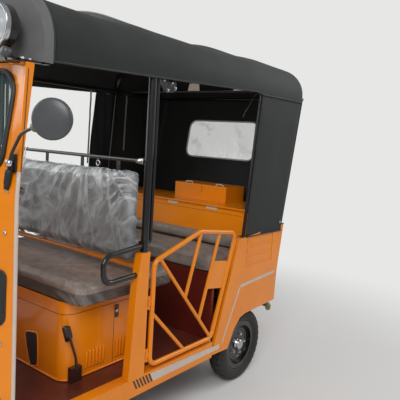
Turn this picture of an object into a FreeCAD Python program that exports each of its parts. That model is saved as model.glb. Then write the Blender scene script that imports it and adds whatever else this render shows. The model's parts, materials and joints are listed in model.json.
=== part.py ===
"""Auto rickshaw with three wheels, open tube gates and a fabric hood.

The frame is +X to the vehicle's left, -Y forward and +Z up, in millimetres.
The origin is on the ground, in the middle of the vehicle's box.
"""
import FreeCAD
import Part
import math
import os
import re
from FreeCAD import Placement, Rotation, Vector

os.makedirs("parts", exist_ok=True)
doc = FreeCAD.newDocument("rickshaw")

# Each row is a size's name, its value in millimetres (or degrees) and what it measures.
SIZES = [
    ("body_half", 635, "side plane of the body from the centre plane"),
    ("floor_height", 360, "top of the floor over the ground"),
    ("floor_thick", 5, "floor sheet"),
    ("sheet", 20, "folded panel with its edge returns"),
    ("thin_sheet", 4, "single sheet"),
    ("gap", 0.3, "running or seating gap between two pieces"),
    ("rear_axle_y", 834, "rear axle behind the origin"),
    ("wheelbase", 1980, "front axle to rear axle"),
    ("tyre_radius", 225, "outside of the tread"),
    ("tyre_width", 110, "widest place of the tyre"),
    ("tyre_sides", 48, "flats round the tyre"),
    ("rim_radius", 130, "bead seat of the rim"),
    ("rim_width", 84, "between the outer faces of the rim flanges"),
    ("rim_thick", 6, "rim and wheel disc"),
    ("rim_flange", 12, "height of the rim flange over the bead seat"),
    ("hub_radius", 34, "outside of the hub"),
    ("hub_bore", 18, "bore of the hub"),
    ("hub_length", 32, "hub inward of the wheel disc"),
    ("disc_depth", 30, "wheel disc's inner face behind the rim's outer edge"),
    ("shaft_radius", 17.5, "stub shaft in the hub"),
    ("wheel_inset", 87, "rear wheel's middle plane inside the body's side"),
    ("rake", 20, "steering axis from upright, in degrees"),
    ("fork_offset", 40, "front axle ahead of the steering axis"),
    ("leg_spread", 84, "fork leg from the centre plane"),
    ("leg_radius", 17, "fork slider"),
    ("crown_height", 300, "underside of the fork crown over the axle, along the axis"),
    ("crown_thick", 30, "fork crown"),
    ("stem_radius", 14, "steering stem"),
    ("stem_length", 1090, "axle to handlebar clamp, along the axis"),
    ("head_low", 345, "lower end of the head tube, along the axis"),
    ("head_length", 250, "head tube"),
    ("head_radius", 27, "outside of the head tube"),
    ("bar_radius", 11, "handlebar tube"),
    ("bar_half", 350, "handlebar end from the centre plane"),
    ("guard_gap", 26, "tyre tread to the inside of the front mudguard"),
    ("guard_half", 72, "half the width of the front mudguard"),
    ("sill_height", 90, "depth of the sill channel"),
    ("sill_width", 60, "width of the sill channel"),
    ("sill_front", -744, "front end of the sills"),
    ("quarter_front", 464, "foot of the rear quarter's front edge"),
    ("quarter_lean", 205, "how far that edge leans back at its top"),
    ("quarter_low", 452, "underside of the rear quarter behind the wheel arch"),
    ("quarter_top", 930, "front end of the rear quarter's top edge"),
    ("quarter_rise", 42, "how much the top edge rises to the rear"),
    ("tail_y", 1144, "foot of the tail panel's outer face"),
    ("tail_knee", 660, "height where the tail panel starts to lean"),
    ("tail_lean", 50, "how far the tail panel leans back at its top"),
    ("post_y", -91, "rear edge of the door post"),
    ("post_foot", 105, "width of the post at the floor"),
    ("post_head", 55, "width of the post at its top"),
    ("post_top", 960, "top of the post"),
    ("post_depth", 40, "post from outside to inside"),
    ("pillar_radius", 18, "roof pillar tube"),
    ("stay_radius", 9, "thin tube beside the pillar"),
    ("gate_tube", 12.5, "radius of the gate's outer tube"),
    ("gate_rod", 9.5, "radius of the gate's inner bars"),
    ("gate_low", 386, "middle of the gate's bottom tube"),
    ("gate_high", 1012, "middle of the gate's top tube, front end"),
    ("gate_front", -45, "middle of the gate's front upright"),
    ("gate_foot", 458, "rear end of the bottom tube"),
    ("gate_head", 644, "rear end of the top tube"),
    ("gate_knee", 300, "where the top tube starts to fall"),
    ("gate_drop", 40, "how much lower the top tube's rear end is"),
    ("gate_nose", 903, "front end of the falling tube"),
    ("gate_bend", 45, "bend radius of the gate's tube"),
    ("gate_room", 5, "room between a gate and what is inside it"),
    ("mitre_turn", 30, "most that a bent tube turns at one mitre, in degrees"),
    ("hinge_radius", 8, "gate hinge knuckle"),
    ("hinge_y", -70, "gate hinge axis"),
    ("hinge_pin", 3, "gate hinge pin"),
    ("hood_wall", 8, "hood cloth with its seams and binding"),
    ("hood_eave", 1945, "where the hood's side and roof lines meet"),
    ("hood_ridge", 2160, "where the two roof lines meet"),
    ("hood_corner", 200, "radius between side and roof"),
    ("hood_crown", 1000, "radius over the middle of the roof"),
    ("hood_front", -656, "front edge of the hood"),
    ("hood_rear", 1216, "foot of the hood's rear face"),
    ("hood_lean", 170, "how far the rear face leans back at the top"),
    ("hood_back_radius", 170, "radius between the roof and the rear face"),
    ("hood_lift", 2, "hood's lower edge over the front end of the rear quarter's top edge"),
    ("valance_front", 1735, "lower edge of the valance at the front"),
    ("valance_rear", 1790, "lower edge of the valance at the rear"),
    ("hood_side_y", 716, "front edge of the hood's side cloth, at its foot"),
    ("hood_side_lean", 75, "how far that edge leans back at its top"),
    ("window_half", 312, "half the width of the rear window"),
    ("window_low", 1365, "lower edge of the rear window"),
    ("window_height", 275, "height of the rear window"),
    ("window_corner", 60, "corner radius of the rear window"),
    ("bow_tube", 11, "half the side of the square roof bows"),
    ("rail_tube", 12, "radius of the roof rails"),
    ("cowl_inset", 10, "side of the front cowl inside the body's side"),
    ("cowl_low", 420, "lower edge of the front cowl"),
    ("cowl_waist", 1240, "where the cowl starts to lean back"),
    ("cowl_top", 1722, "top edge of the front cowl"),
    ("cowl_side_y", -784, "side edge of the cowl below the waist"),
    ("cowl_top_y", -709, "side edge of the cowl at its top"),
    ("cowl_nose", 235, "how far the cowl bulges forward at the nose"),
    ("cowl_bulge", 130, "how far the cowl bulges forward at the waist"),
    ("cowl_brow", 80, "how far the cowl bulges forward at the top"),
    ("cowl_nose_height", 620, "height of the nose"),
    ("cowl_return", 55, "depth of the cowl's side returns"),
    ("arch_half", 270, "half the width of the front wheel's opening"),
    ("screen_side", 80, "width of the cowl's frame beside the windscreen"),
    ("screen_low", 1318, "lower edge of the windscreen"),
    ("screen_high", 1690, "upper edge of the windscreen"),
    ("screen_corner", 85, "corner radius of the windscreen"),
    ("glass", 6, "windscreen glass"),
    ("visor_low", 1728, "lower edge of the roof visor"),
    ("visor_side", 40, "length of the visor's flat sides"),
    ("visor_bulge", 110, "how far the visor bulges forward in the middle"),
    ("lamp_inset", 95, "roof lamp's middle inside the body's side"),
    ("lamp_z", 1838, "height of the roof lamps"),
    ("lamp_radius", 75, "roof lamp"),
    ("lamp_depth", 62, "roof lamp"),
    ("box_inset", 190, "side of the seat box inside the body's side"),
    ("box_front", -416, "front of the seat box"),
    ("box_rear", 134, "rear of the seat box"),
    ("box_corner", 60, "upright corner of the seat box"),
    ("seat_height", 735, "underside of the front seat cushion"),
    ("seat_thick", 95, "front seat cushion"),
    ("seat_inset", 75, "side of the front seat cushion inside the body's side"),
    ("seat_front", -432, "front edge of the front seat cushion"),
    ("seat_rear", 216, "rear edge of the front seat cushion"),
    ("low_bar_z", 882, "lower cross bar"),
    ("low_bar_radius", 14, "lower cross bar"),
    ("high_bar_z", 1378, "upper cross bar"),
    ("high_bar_radius", 9, "upper cross bar"),
    ("pad_low", 908, "lower edge of the driver's backrest"),
    ("pad_high", 1336, "upper edge of the driver's backrest"),
    ("pad_inset", 50, "side of the driver's backrest inside the body's side"),
    ("pad_thick", 58, "driver's backrest"),
    ("loop_reach", 270, "grab loop ahead of the pillar"),
    ("loop_high", 990, "upper arm of the grab loop"),
    ("loop_low", 850, "lower arm of the grab loop"),
    ("loop_tube", 13, "radius of the grab loop"),
    ("bench_front", 468, "front of the rear bench box"),
    ("bench_height", 750, "top of the rear bench box"),
    ("cushion_thick", 98, "rear bench cushion"),
    ("roll_thick", 62, "rear backrest roll"),
    ("roll_height", 80, "rear backrest roll"),
    ("shelf_y", 771, "front face of the parcel box"),
    ("shelf_top", 1092, "top of the parcel box"),
    ("shelf_lip", 14, "how far the parcel box's top stands forward"),
    ("deck_height", 505, "deck over the rear axle"),
    ("chest_left", 356, "left side of the tool chest"),
    ("chest_length", 434, "tool chest across the vehicle"),
    ("chest_y", 901, "front face of the tool chest"),
    ("chest_depth", 210, "tool chest front to rear"),
    ("chest_height", 82, "tool chest below its lid"),
    ("lid_height", 22, "lid of the tool chest"),
    ("rail_x", 380, "chassis rail from the centre plane"),
    ("rail_width", 40, "chassis rail"),
    ("rail_height", 45, "chassis rail"),
    ("rail_front", -729, "front end of the chassis rails"),
    ("rail_rear", 1126, "rear end of the chassis rails"),
    ("axle_tube", 34, "radius of the rear axle's tube"),
    ("diff_radius", 88, "differential housing"),
    ("drum_radius", 90, "brake drum"),
    ("drum_width", 44, "brake drum"),
    ("leaf_width", 56, "spring leaf"),
    ("leaf_thick", 8, "spring leaf"),
    ("mirror_reach", 233, "mirror's middle outside the body's side"),
    ("mirror_z", 1526, "mirror"),
    ("mirror_radius", 66, "mirror"),
    ("bumper_y", 1222, "rear face of the rear bumper"),
    ("bumper_z", 395, "rear bumper"),
    ("tow_eye", 11, "bore of the tow eye"),
    ("tow_plate", 12, "thickness of the tow eye's plate"),
    ("tow_drop", 42, "tow eye below the rear bumper"),
    ("curtain_width", 190, "side curtain front to rear"),
    ("mirror_thick", 18, "mirror"),
    ("dash_room", 49, "dashboard's rear edge ahead of the steering stem's middle"),
    ("battery_length", 640, "battery across the vehicle"),
    ("battery_depth", 330, "battery front to rear"),
    ("battery_height", 230, "battery"),
]

sheet = doc.addObject("Spreadsheet::Sheet", "Sizes")
for row, (alias, value, meaning) in enumerate(SIZES, start=1):
    sheet.set(f"A{row}", meaning)
    sheet.set(f"B{row}", str(value))
    sheet.setAlias(f"B{row}", alias)
doc.recompute()

ALIASES = [row[0] for row in SIZES]
WORD = re.compile(r"[a-z][a-z_]*")
PARTS = []


def size(alias):
    """A size's value, as the sheet holds it."""
    return float(sheet.get(alias))


HOOD_HALF = size("body_half") + size("gap") + size("hood_wall")
HOOD_FOOT = size("quarter_top") + size("hood_lift")
COWL_HALF = size("body_half") - size("cowl_inset")
SCREEN_HALF = COWL_HALF - size("screen_side")
BOX_HALF = size("body_half") - size("box_inset")
ROOF_ANGLE = math.atan2(size("hood_ridge") - size("hood_eave"), HOOD_HALF)
# The crown's arc ends at the middle of the straight roof line at the latest.
CROWN_RADIUS = min(size("hood_crown"), HOOD_HALF / math.cos(ROOF_ANGLE) / 2 / math.tan(ROOF_ANGLE))


def bound(text):
    """An expression in the sizes' names, with the sheet named before each."""
    return WORD.sub(lambda hit: "Sizes." + hit.group() if hit.group() in ALIASES else hit.group(), text)


def bind(item, **expressions):
    """Tie properties of an object to sizes."""
    for name, text in expressions.items():
        item.setExpression(name, bound(text))


def seat(item, x="0", y="0", z="0"):
    """Tie an object's place to sizes."""
    for axis, text in (("x", x), ("y", y), ("z", z)):
        item.setExpression(f".Placement.Base.{axis}", bound(text))


def keep(item, label):
    """Make an object one of the vehicle's pieces."""
    item.Label = label
    PARTS.append(item)
    return item


def block(name, length, width, height, x, y, z):
    """A box with its lowest corner at x, y, z."""
    item = doc.addObject("Part::Box", name)
    bind(item, Length=length, Width=width, Height=height)
    seat(item, x, y, z)
    return item


def drum(name, radius, height, x, y, z, axis=Vector(0, 0, 1)):
    """A cylinder that starts at x, y, z and runs along an axis."""
    item = doc.addObject("Part::Cylinder", name)
    bind(item, Radius=radius, Height=height)
    item.Placement = Placement(Vector(), Rotation(Vector(0, 0, 1), axis))
    seat(item, x, y, z)
    return item


def fuse(name, items):
    item = doc.addObject("Part::MultiFuse", name)
    item.Shapes = items
    return item


def cut(name, base, tool):
    item = doc.addObject("Part::Cut", name)
    item.Base = base
    item.Tool = tool
    return item


def group(name, items):
    """Pieces of one node that don't touch."""
    item = doc.addObject("Part::Compound", name)
    item.Links = items
    return item


def mirror(name, source):
    """The same piece on the vehicle's right."""
    item = doc.addObject("Part::Mirroring", name)
    item.Source = source
    item.Normal = Vector(1, 0, 0)
    return item


def free(name, shape, placement=Placement()):
    """A swept or lofted form, set from the sizes by its own function."""
    item = doc.addObject("Part::Feature", name)
    item.Shape = shape
    item.Placement = placement
    return item


def plane(body, role):
    return next(f for f in body.Origin.OriginFeatures if f.Role == role)


def outline(points):
    """Straight edges round a closed outline."""
    return [Part.LineSegment(a, b) for a, b in zip(points, points[1:] + points[:1])]


def pad(name, points, length, across="YZ_Plane", middle=False):
    """A body whose outline is drawn on an origin plane and padded."""
    body = doc.addObject("PartDesign::Body", name)
    sketch = body.newObject("Sketcher::SketchObject", name + "_outline")
    sketch.AttachmentSupport = (plane(body, across), [""])
    sketch.MapMode = "FlatFace"
    sketch.addGeometry(outline([Vector(u, v, 0) for u, v in points]), False)
    item = body.newObject("PartDesign::Pad", name + "_pad")
    item.Profile = sketch
    item.SideType = "Symmetric" if middle else "One side"
    bind(item, Length=length)
    return body


def turned(name, edges):
    """A body turned about the X axis from edges given as (along the axis, radius)."""
    body = doc.addObject("PartDesign::Body", name)
    sketch = body.newObject("Sketcher::SketchObject", name + "_section")
    sketch.AttachmentSupport = (plane(body, "XY_Plane"), [""])
    sketch.MapMode = "FlatFace"
    sketch.addGeometry(edges, False)
    item = body.newObject("PartDesign::Revolution", name + "_turn")
    item.Profile = sketch
    item.ReferenceAxis = (sketch, ["H_Axis"])
    item.Angle = 360
    return body


def bent_path(points, bend):
    """Straight runs through the points, joined by tangent arcs of one radius."""
    edges = []
    start = points[0]
    for before, corner, after in zip(points, points[1:], points[2:]):
        back = (before - corner).normalize()
        ahead = (after - corner).normalize()
        half_turn = (math.pi - back.getAngle(ahead)) / 2
        reach = bend * math.tan(half_turn)
        inward = (back + ahead).normalize() * bend * (1 / math.cos(half_turn) - 1)
        enter = corner + back * reach
        leave = corner + ahead * reach
        edges.append(Part.LineSegment(start, enter).toShape())
        edges.append(Part.Arc(enter, corner + inward, leave).toShape())
        start = leave
    edges.append(Part.LineSegment(start, points[-1]).toShape())
    return Part.Wire(edges)


def joined(shapes):
    """Shapes fused into one solid."""
    return shapes[0].multiFuse(shapes[1:]).removeSplitter()


def half_space(at, towards, reach):
    """A block on one side of a plane through a point."""
    side = Part.makeBox(2 * reach, 2 * reach, reach, Vector(-reach, -reach, 0))
    side.Placement = Placement(at, Rotation(Vector(0, 0, 1), towards))
    return side


def mitred_bar(points, radius):
    """A round bar whose straight runs meet at mitres."""
    runs = [(after - before).normalize() for before, after in zip(points, points[1:])]
    parts = []
    for index, run in enumerate(runs):
        first, last = points[index], points[index + 1]
        begins, ends = index > 0, index < len(runs) - 1
        spare = 2 * radius
        start = first - run * spare if begins else first
        stop = last + run * spare if ends else last
        part = Part.makeCylinder(radius, (stop - start).Length, start, run)
        if begins:
            part = part.cut(half_space(first, (runs[index - 1] + run) * -1, 4 * radius))
        if ends:
            part = part.cut(half_space(last, run + runs[index + 1], 4 * radius))
        parts.append(part)
    return joined(parts)


def rod(points, radius, bend=0):
    """A round bar along straight runs, its bends made of short mitred runs."""
    route = [points[0]]
    for edge in bent_path(points, bend).Edges if bend else []:
        first, last = edge.FirstParameter, edge.LastParameter
        if isinstance(edge.Curve, Part.Line):
            steps = 1
        else:
            steps = math.ceil(math.degrees(last - first) / size("mitre_turn"))
        route += [edge.valueAt(first + (last - first) * step / steps) for step in range(1, steps + 1)]
    return mitred_bar(route if bend else points, radius)


# Wheels


# Each row is a station across the tyre: its share of the half width, and of the height from bead to tread.
TYRE_STATIONS = [(1.0, 0.46), (0.93, 0.8), (0.72, 0.97), (0.3, 1.0)]


def tyre(name):
    """A crowned tyre of flat facets: bead seat, sidewalls, shoulders and tread, round the X axis."""
    half, bead = size("tyre_width") / 2, size("rim_radius") + size("gap")
    bead_half = size("rim_width") / 2 - size("rim_thick") - size("gap")
    height, sides = size("tyre_radius") - bead, int(size("tyre_sides"))
    right = [(bead_half, bead)] + [(half * across, bead + height * up) for across, up in TYRE_STATIONS]
    stations = right + [(-across, radius) for across, radius in reversed(right)]
    # The facets' middles lie at a station's radius, so their corners lie a little further out.
    outward = 1 / math.cos(math.pi / sides)

    def corner(station, turn):
        x, radius = station
        angle = math.pi * (2 * turn + 1) / sides
        return Vector(x, radius * outward * math.sin(angle), radius * outward * math.cos(angle))

    faces = []
    for first, second in zip(stations, stations[1:] + stations[:1]):
        for turn in range(sides):
            points = [corner(first, turn), corner(first, turn + 1), corner(second, turn + 1),
                      corner(second, turn)]
            faces.append(Part.Face(Part.makePolygon(points + points[:1])))
    shell = Part.makeShell(faces)
    shell.sewShape()
    return free(name, Part.makeSolid(shell))


def rim(name):
    """Rim barrel with its flanges, wheel disc and hub in one turned section."""
    half, thick, outer = size("rim_width") / 2, size("rim_thick"), size("rim_radius")
    flange, hub, bore = outer + size("rim_flange"), size("hub_radius"), size("hub_bore")
    disc = half - size("disc_depth")
    hub_inner = disc - size("hub_length")
    section = [(-half, outer - thick), (-half, flange), (-half + thick, outer), (half - thick, outer),
               (half, flange), (half, outer - thick), (disc + thick, outer - thick), (disc + thick, bore),
               (hub_inner, bore), (hub_inner, hub), (disc, hub), (disc, outer - thick)]
    return turned(name, outline([Vector(u, v, 0) for u, v in section]))


front_axle_y = "rear_axle_y - wheelbase"
# Each row is a wheel's name, which way it faces, and where its middle lies.
WHEELS = [
    ("front", 1, "0", front_axle_y),
    ("rear_left", 1, "body_half - wheel_inset", "rear_axle_y"),
    ("rear_right", -1, "wheel_inset - body_half", "rear_axle_y"),
]
for name, facing, x, y in WHEELS:
    for kind, maker in (("tyre", tyre), ("rim", rim)):
        item = keep(maker(f"{name}_{kind}_turned"), f"{name}_{kind}")
        item.Placement = Placement(Vector(), Rotation(Vector(0, 0, 1), 0 if facing == 1 else 180))
        seat(item, x, y, "tyre_radius")

# Steering: everything here is made about an upright axis, then leaned back by the rake

lean = math.radians(size("rake"))
axle_front = size("rear_axle_y") - size("wheelbase")
steer_foot = Vector(0, axle_front + size("fork_offset") * math.cos(lean),
                    size("tyre_radius") - size("fork_offset") * math.sin(lean))
steering = Placement(steer_foot, Rotation(Vector(1, 0, 0), -size("rake")))


def fork_shape():
    """Two sliders, the crown that joins them, the stem and the wheel's shaft."""
    offset, spread, radius = size("fork_offset"), size("leg_spread"), size("leg_radius")
    low, thick = size("crown_height"), size("crown_thick")
    shaft = size("shaft_radius")
    parts = [rod([Vector(-spread, -offset, 0), Vector(spread, -offset, 0)], shaft)]
    for side in (-1, 1):
        foot = Vector(side * spread, -offset, -shaft - 8)
        knee = Vector(side * spread, -offset, low * 0.55)
        top = Vector(side * spread, -offset, low + thick + 6)
        parts.append(rod([foot, knee], radius))
        parts.append(rod([knee, top], radius - 4))
    crown = Part.makeBox(2 * spread + 2 * radius + 8, offset + 44, thick,
                         Vector(-spread - radius - 4, -offset - 22, low))
    upright = [edge for edge in crown.Edges if abs(edge.Vertexes[0].Z - edge.Vertexes[1].Z) > thick / 2]
    parts.append(crown.makeFillet(16, upright))
    stem_top = size("stem_length") - size("bar_radius") - size("gap")
    parts.append(rod([Vector(0, 0, low), Vector(0, 0, stem_top)], size("stem_radius")))
    return joined(parts)


def handlebar_shape():
    """A bar that rises, sweeps back and ends level, with its grips and clamp."""
    half, radius = size("bar_half"), size("bar_radius")
    height = size("stem_length") + radius
    right = [Vector(0, 0, height), Vector(95, 0, height), Vector(170, 55, height + 40),
             Vector(half, 150, height + 40)]
    path = [Vector(-p.x, p.y, p.z) for p in reversed(right[1:])] + right[1:]
    bar = rod(path, radius, 45)
    parts = [bar]
    for side in (-1, 1):
        knee = Vector(side * right[2].x, right[2].y, right[2].z)
        end = Vector(side * half, right[3].y, right[3].z)
        grip = (knee - end).normalize() * 115
        parts.append(rod([end, end + grip], radius + 5))
    parts.append(Part.makeBox(60, 44, 3 * radius + 4, Vector(-30, -22, height - 2 * radius)))
    return joined(parts)


def guard_shape():
    """A mudguard: a hoop of sheet round the tyre, with turned-down sides and two stays to the crown."""
    inner = size("tyre_radius") + size("guard_gap")
    outer, half = inner + size("thin_sheet"), size("guard_half")
    middle = Vector(0, -size("fork_offset"), 0)
    along = Vector(1, 0, 0)
    hoop = Part.makeCylinder(outer, 2 * half, middle - along * half, along)
    hollow = Part.makeCylinder(inner, 2 * half - 2 * size("thin_sheet"),
                               middle - along * (half - size("thin_sheet")), along)
    sides = Part.makeCylinder(inner - 22, 2 * half, middle - along * half, along)
    reach = 2 * outer
    wedge = Part.makePolygon([middle + Vector(-reach, 0, 0),
                              middle + Vector(-reach, -reach, reach * math.tan(math.radians(2))),
                              middle + Vector(-reach, -reach, reach),
                              middle + Vector(-reach, reach, reach),
                              middle + Vector(-reach, reach, reach * math.tan(math.radians(10))),
                              middle + Vector(-reach, 0, 0)])
    kept = Part.Face(wedge).extrude(Vector(2 * reach, 0, 0))
    hoop = hoop.cut(hollow).cut(sides).common(kept)
    slot = Part.makeBox(2 * size("leg_radius") + 6, 2 * size("leg_radius") + 6, outer,
                        Vector(-size("leg_radius") - 3, middle.y - size("leg_radius") - 3, inner - 60))
    for side in (-1, 1):
        hoop = hoop.cut(slot.translated(Vector(side * size("leg_spread"), 0, 0)))
    post = Part.makeBox(36, 24, size("crown_height") - size("gap") - outer + 6,
                        Vector(-18, middle.y - 12, outer - 6))
    return joined([hoop, post])


keep(free("fork_form", fork_shape(), steering), "fork")
keep(free("handlebar_form", handlebar_shape(), steering), "handlebar")
keep(free("guard_form", guard_shape(), steering), "front_mudguard")

# Chassis, floor, axle and springs


def brace_rods(grow=0):
    """The neck's three braces, from the head tube down to the front cross member."""
    top = size("floor_height") - size("floor_thick") - size("gap")
    foot_y, foot_z = size("rail_front") + 20, top - size("rail_height") / 2
    high = steering.multVec(Vector(0, 0, size("head_low") + size("head_length") * 0.62))
    higher = steering.multVec(Vector(0, 0, size("head_low") + size("head_length") * 0.78))
    foot_x = size("rail_x") - 60
    return [rod([high, Vector(0, foot_y, foot_z)], 22 + grow),
            rod([higher, Vector(foot_x, foot_y, foot_z)], 14 + grow),
            rod([higher, Vector(-foot_x, foot_y, foot_z)], 14 + grow)]


def chassis_shape():
    """Two rails, their cross members, the neck and the head tube."""
    x, width, height = size("rail_x"), size("rail_width"), size("rail_height")
    top = size("floor_height") - size("floor_thick") - size("gap")
    front, rear = size("rail_front"), size("rail_rear")
    parts = []
    for side in (-1, 1):
        parts.append(Part.makeBox(width, rear - front, height,
                                  Vector(side * x - width / 2, front, top - height)))
    members = [front + width / 2, size("box_front") + 72, size("box_rear") - 58, size("bench_front") + 10]
    for y in members + [rear - width / 2]:
        parts.append(Part.makeBox(2 * x, width, height, Vector(-x, y - width / 2, top - height)))
    # Outriggers carry the sills.
    arm = size("body_half") - size("sill_width") - size("gap") - x
    for y in members:
        for side in (-1, 1):
            left = x if side == 1 else -x - arm
            parts.append(Part.makeBox(arm, width, height * 0.6,
                                      Vector(left, y - width / 2, top - height * 0.6)))
    tube = size("head_radius")
    axis_low = steering.multVec(Vector(0, 0, size("head_low")))
    axis_high = steering.multVec(Vector(0, 0, size("head_low") + size("head_length")))
    run = (axis_high - axis_low).normalize()
    bore = Part.makeCylinder(size("stem_radius") + 2, size("head_length") + 40, axis_low - run * 20, run)
    parts.append(Part.makeCylinder(tube, size("head_length"), axis_low, run))
    return joined(parts + brace_rods()).cut(bore)


def axle_shape():
    """Axle tube, differential, motor, brake drums and stub shafts."""
    y, z = size("rear_axle_y"), size("tyre_radius")
    track = size("body_half") - size("wheel_inset")
    wheel_inner = track - size("rim_width") / 2
    along = Vector(1, 0, 0)
    drum_out = wheel_inner - 8
    span = drum_out - size("drum_width")
    parts = [Part.makeCylinder(size("axle_tube"), 2 * span, Vector(-span, y, z), along)]
    for side in (-1, 1):
        parts.append(Part.makeCone(size("diff_radius"), size("axle_tube") + 8, size("diff_radius"),
                                   Vector(0, y, z), along * side))
    parts.append(Part.makeCylinder(size("diff_radius") + 8, 16, Vector(-8, y, z), along))
    parts.append(Part.makeCylinder(72, 190, Vector(0, y - 60, z + 10), Vector(0, -1, 0)))
    for side in (-1, 1):
        parts.append(Part.makeCylinder(size("drum_radius"), size("drum_width"),
                                       Vector(side * span, y, z), along * side))
        end = track + size("rim_width") / 2 - 2
        parts.append(Part.makeCylinder(size("shaft_radius"), end - drum_out,
                                       Vector(side * drum_out, y, z), along * side))
    return joined(parts)


def springs_shape():
    """A stack of three leaves under each rail, with its hangers and the saddle on the axle."""
    y, x = size("rear_axle_y"), size("rail_x")
    seat_z = size("tyre_radius") + size("axle_tube") + size("gap")
    rail_low = size("floor_height") - size("floor_thick") - 2 * size("gap") - size("rail_height")
    thick, width = size("leaf_thick"), size("leaf_width")
    reach = min(size("rail_rear") - 20 - y, y - size("bench_front") - 30)
    springs = []
    for side in (-1, 1):
        parts = []
        for leaf, share in enumerate((0.45, 0.72, 1.0)):
            parts.append(Part.makeBox(width, 2 * reach * share, thick,
                                      Vector(side * x - width / 2, y - reach * share, seat_z + leaf * thick)))
        for end in (-1, 1):
            foot = seat_z + 2 * thick
            parts.append(Part.makeBox(width - 12, 30, rail_low - foot,
                                      Vector(side * x - width / 2 + 6, y + end * (reach - 15) - 15, foot)))
        springs.append(joined(parts))
    return Part.makeCompound(springs)


keep(free("chassis_form", chassis_shape()), "chassis")
keep(free("axle_form", axle_shape()), "rear_axle")
keep(free("springs_form", springs_shape()), "leaf_springs")

floor_inner = "body_half - sill_width - gap"
floor_front = block("floor_front", f"2 * ({floor_inner})", "bench_front - sill_front", "floor_thick",
                    f"-({floor_inner})", "sill_front", "floor_height - floor_thick")
# Inside the gates' reach the bench and the deck are narrower than the body.
bench_inner = "body_half - 2 * gate_tube - gate_room"
floor_riser = block("floor_riser", f"2 * ({bench_inner})", "floor_thick",
                    "deck_height - floor_height + floor_thick", f"-({bench_inner})",
                    "bench_front + sheet + gap", "floor_height - floor_thick")
floor_deck = block("floor_deck", f"2 * ({bench_inner})", "tail_y - 2 * sheet - bench_front - gap",
                   "floor_thick", f"-({bench_inner})", "bench_front + sheet + gap",
                   "deck_height - floor_thick")
floor_step = block("floor_step", f"2 * ({floor_inner})", "sheet + gap + floor_thick", "floor_thick",
                   f"-({floor_inner})", "bench_front", "floor_height - floor_thick")
floor_whole = fuse("floor_joined", [floor_front, floor_step, floor_riser, floor_deck])
brace_room = free("brace_room", Part.makeCompound(brace_rods(size("gap"))))
keep(cut("floor_cut", floor_whole, brace_room), "floor")

sill_z = "floor_height - sill_height"
sill_outer = block("sill_outer", "sill_width", "quarter_front - gap - sill_front", "sill_height",
                   "body_half - sill_width", "sill_front", sill_z)
sill_hollow = block("sill_hollow", "sill_width - 2 * thin_sheet", "quarter_front - sill_front + 2 * sheet",
                    "sill_height - thin_sheet", "body_half - sill_width + thin_sheet",
                    "sill_front - sheet", f"{sill_z} - thin_sheet")
sill_left = cut("sill_left", sill_outer, sill_hollow)
keep(group("sills_pair", [sill_left, mirror("sill_right", sill_left)]), "sills")

# Front cowl, windscreen, visor and lamps

# Each row is a height on the cowl, the Y of its side edge there, and how far it bulges forward.
COWL = [
    (size("cowl_low"), size("cowl_side_y"), size("cowl_nose")),
    (size("cowl_nose_height"), size("cowl_side_y"), size("cowl_nose")),
    (size("cowl_waist"), size("cowl_side_y"), size("cowl_bulge")),
    (size("cowl_top"), size("cowl_top_y"), size("cowl_brow")),
]


def cowl_solid(inset, grow=0):
    """The cowl's form pulled in by an inset on every side but its open back."""
    sections = []
    for height, side_y, bulge in COWL:
        half = COWL_HALF - inset
        edge = side_y + inset
        back = side_y + size("cowl_return") + grow
        nose = side_y - bulge + inset
        left, right = Vector(half, edge, height), Vector(-half, edge, height)
        sections.append(Part.Wire([
            Part.Arc(left, Vector(0, nose, height), right).toShape(),
            Part.LineSegment(right, Vector(-half, back, height)).toShape(),
            Part.LineSegment(Vector(-half, back, height), Vector(half, back, height)).toShape(),
            Part.LineSegment(Vector(half, back, height), left).toShape(),
        ]))
    return Part.makeLoft(sections, True, True)


def rounded_window(half, low, high, corner, start_y, end_y):
    """A prism along Y with rounded corners, for cutting an opening."""
    slab = Part.makeBox(2 * half, end_y - start_y, high - low, Vector(-half, start_y, low))
    edges = [e for e in slab.Edges if abs(e.Vertexes[0].Y - e.Vertexes[1].Y) > 1]
    return slab.makeFillet(corner, edges)


def cowl_shape():
    """A sheet shell, open at the back, with its windscreen and wheel arch cut."""
    wall = size("sheet")
    far = size("cowl_side_y") - size("cowl_nose") - wall
    shell = cowl_solid(0).cut(cowl_solid(wall, grow=wall))
    screen = rounded_window(SCREEN_HALF, size("screen_low"), size("screen_high"),
                            size("screen_corner"), far, 0)
    arch_top = size("cowl_nose_height") - wall
    arch = rounded_window(size("arch_half"), size("cowl_low") - 200, arch_top, 120, far, 0)
    return shell.cut(screen).cut(arch)


def screen_shape():
    """Curved glass that stands in the windscreen opening."""
    wall, far = size("sheet"), size("cowl_side_y") - size("cowl_nose") - size("sheet")
    skin = cowl_solid(wall / 2 - size("glass") / 2).cut(cowl_solid(wall / 2 + size("glass") / 2, grow=wall))
    inset = size("gap")
    pane = rounded_window(SCREEN_HALF - inset, size("screen_low") + inset, size("screen_high") - inset,
                          size("screen_corner") - inset, far, size("cowl_side_y") + size("cowl_return"))
    return skin.common(pane)


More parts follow.
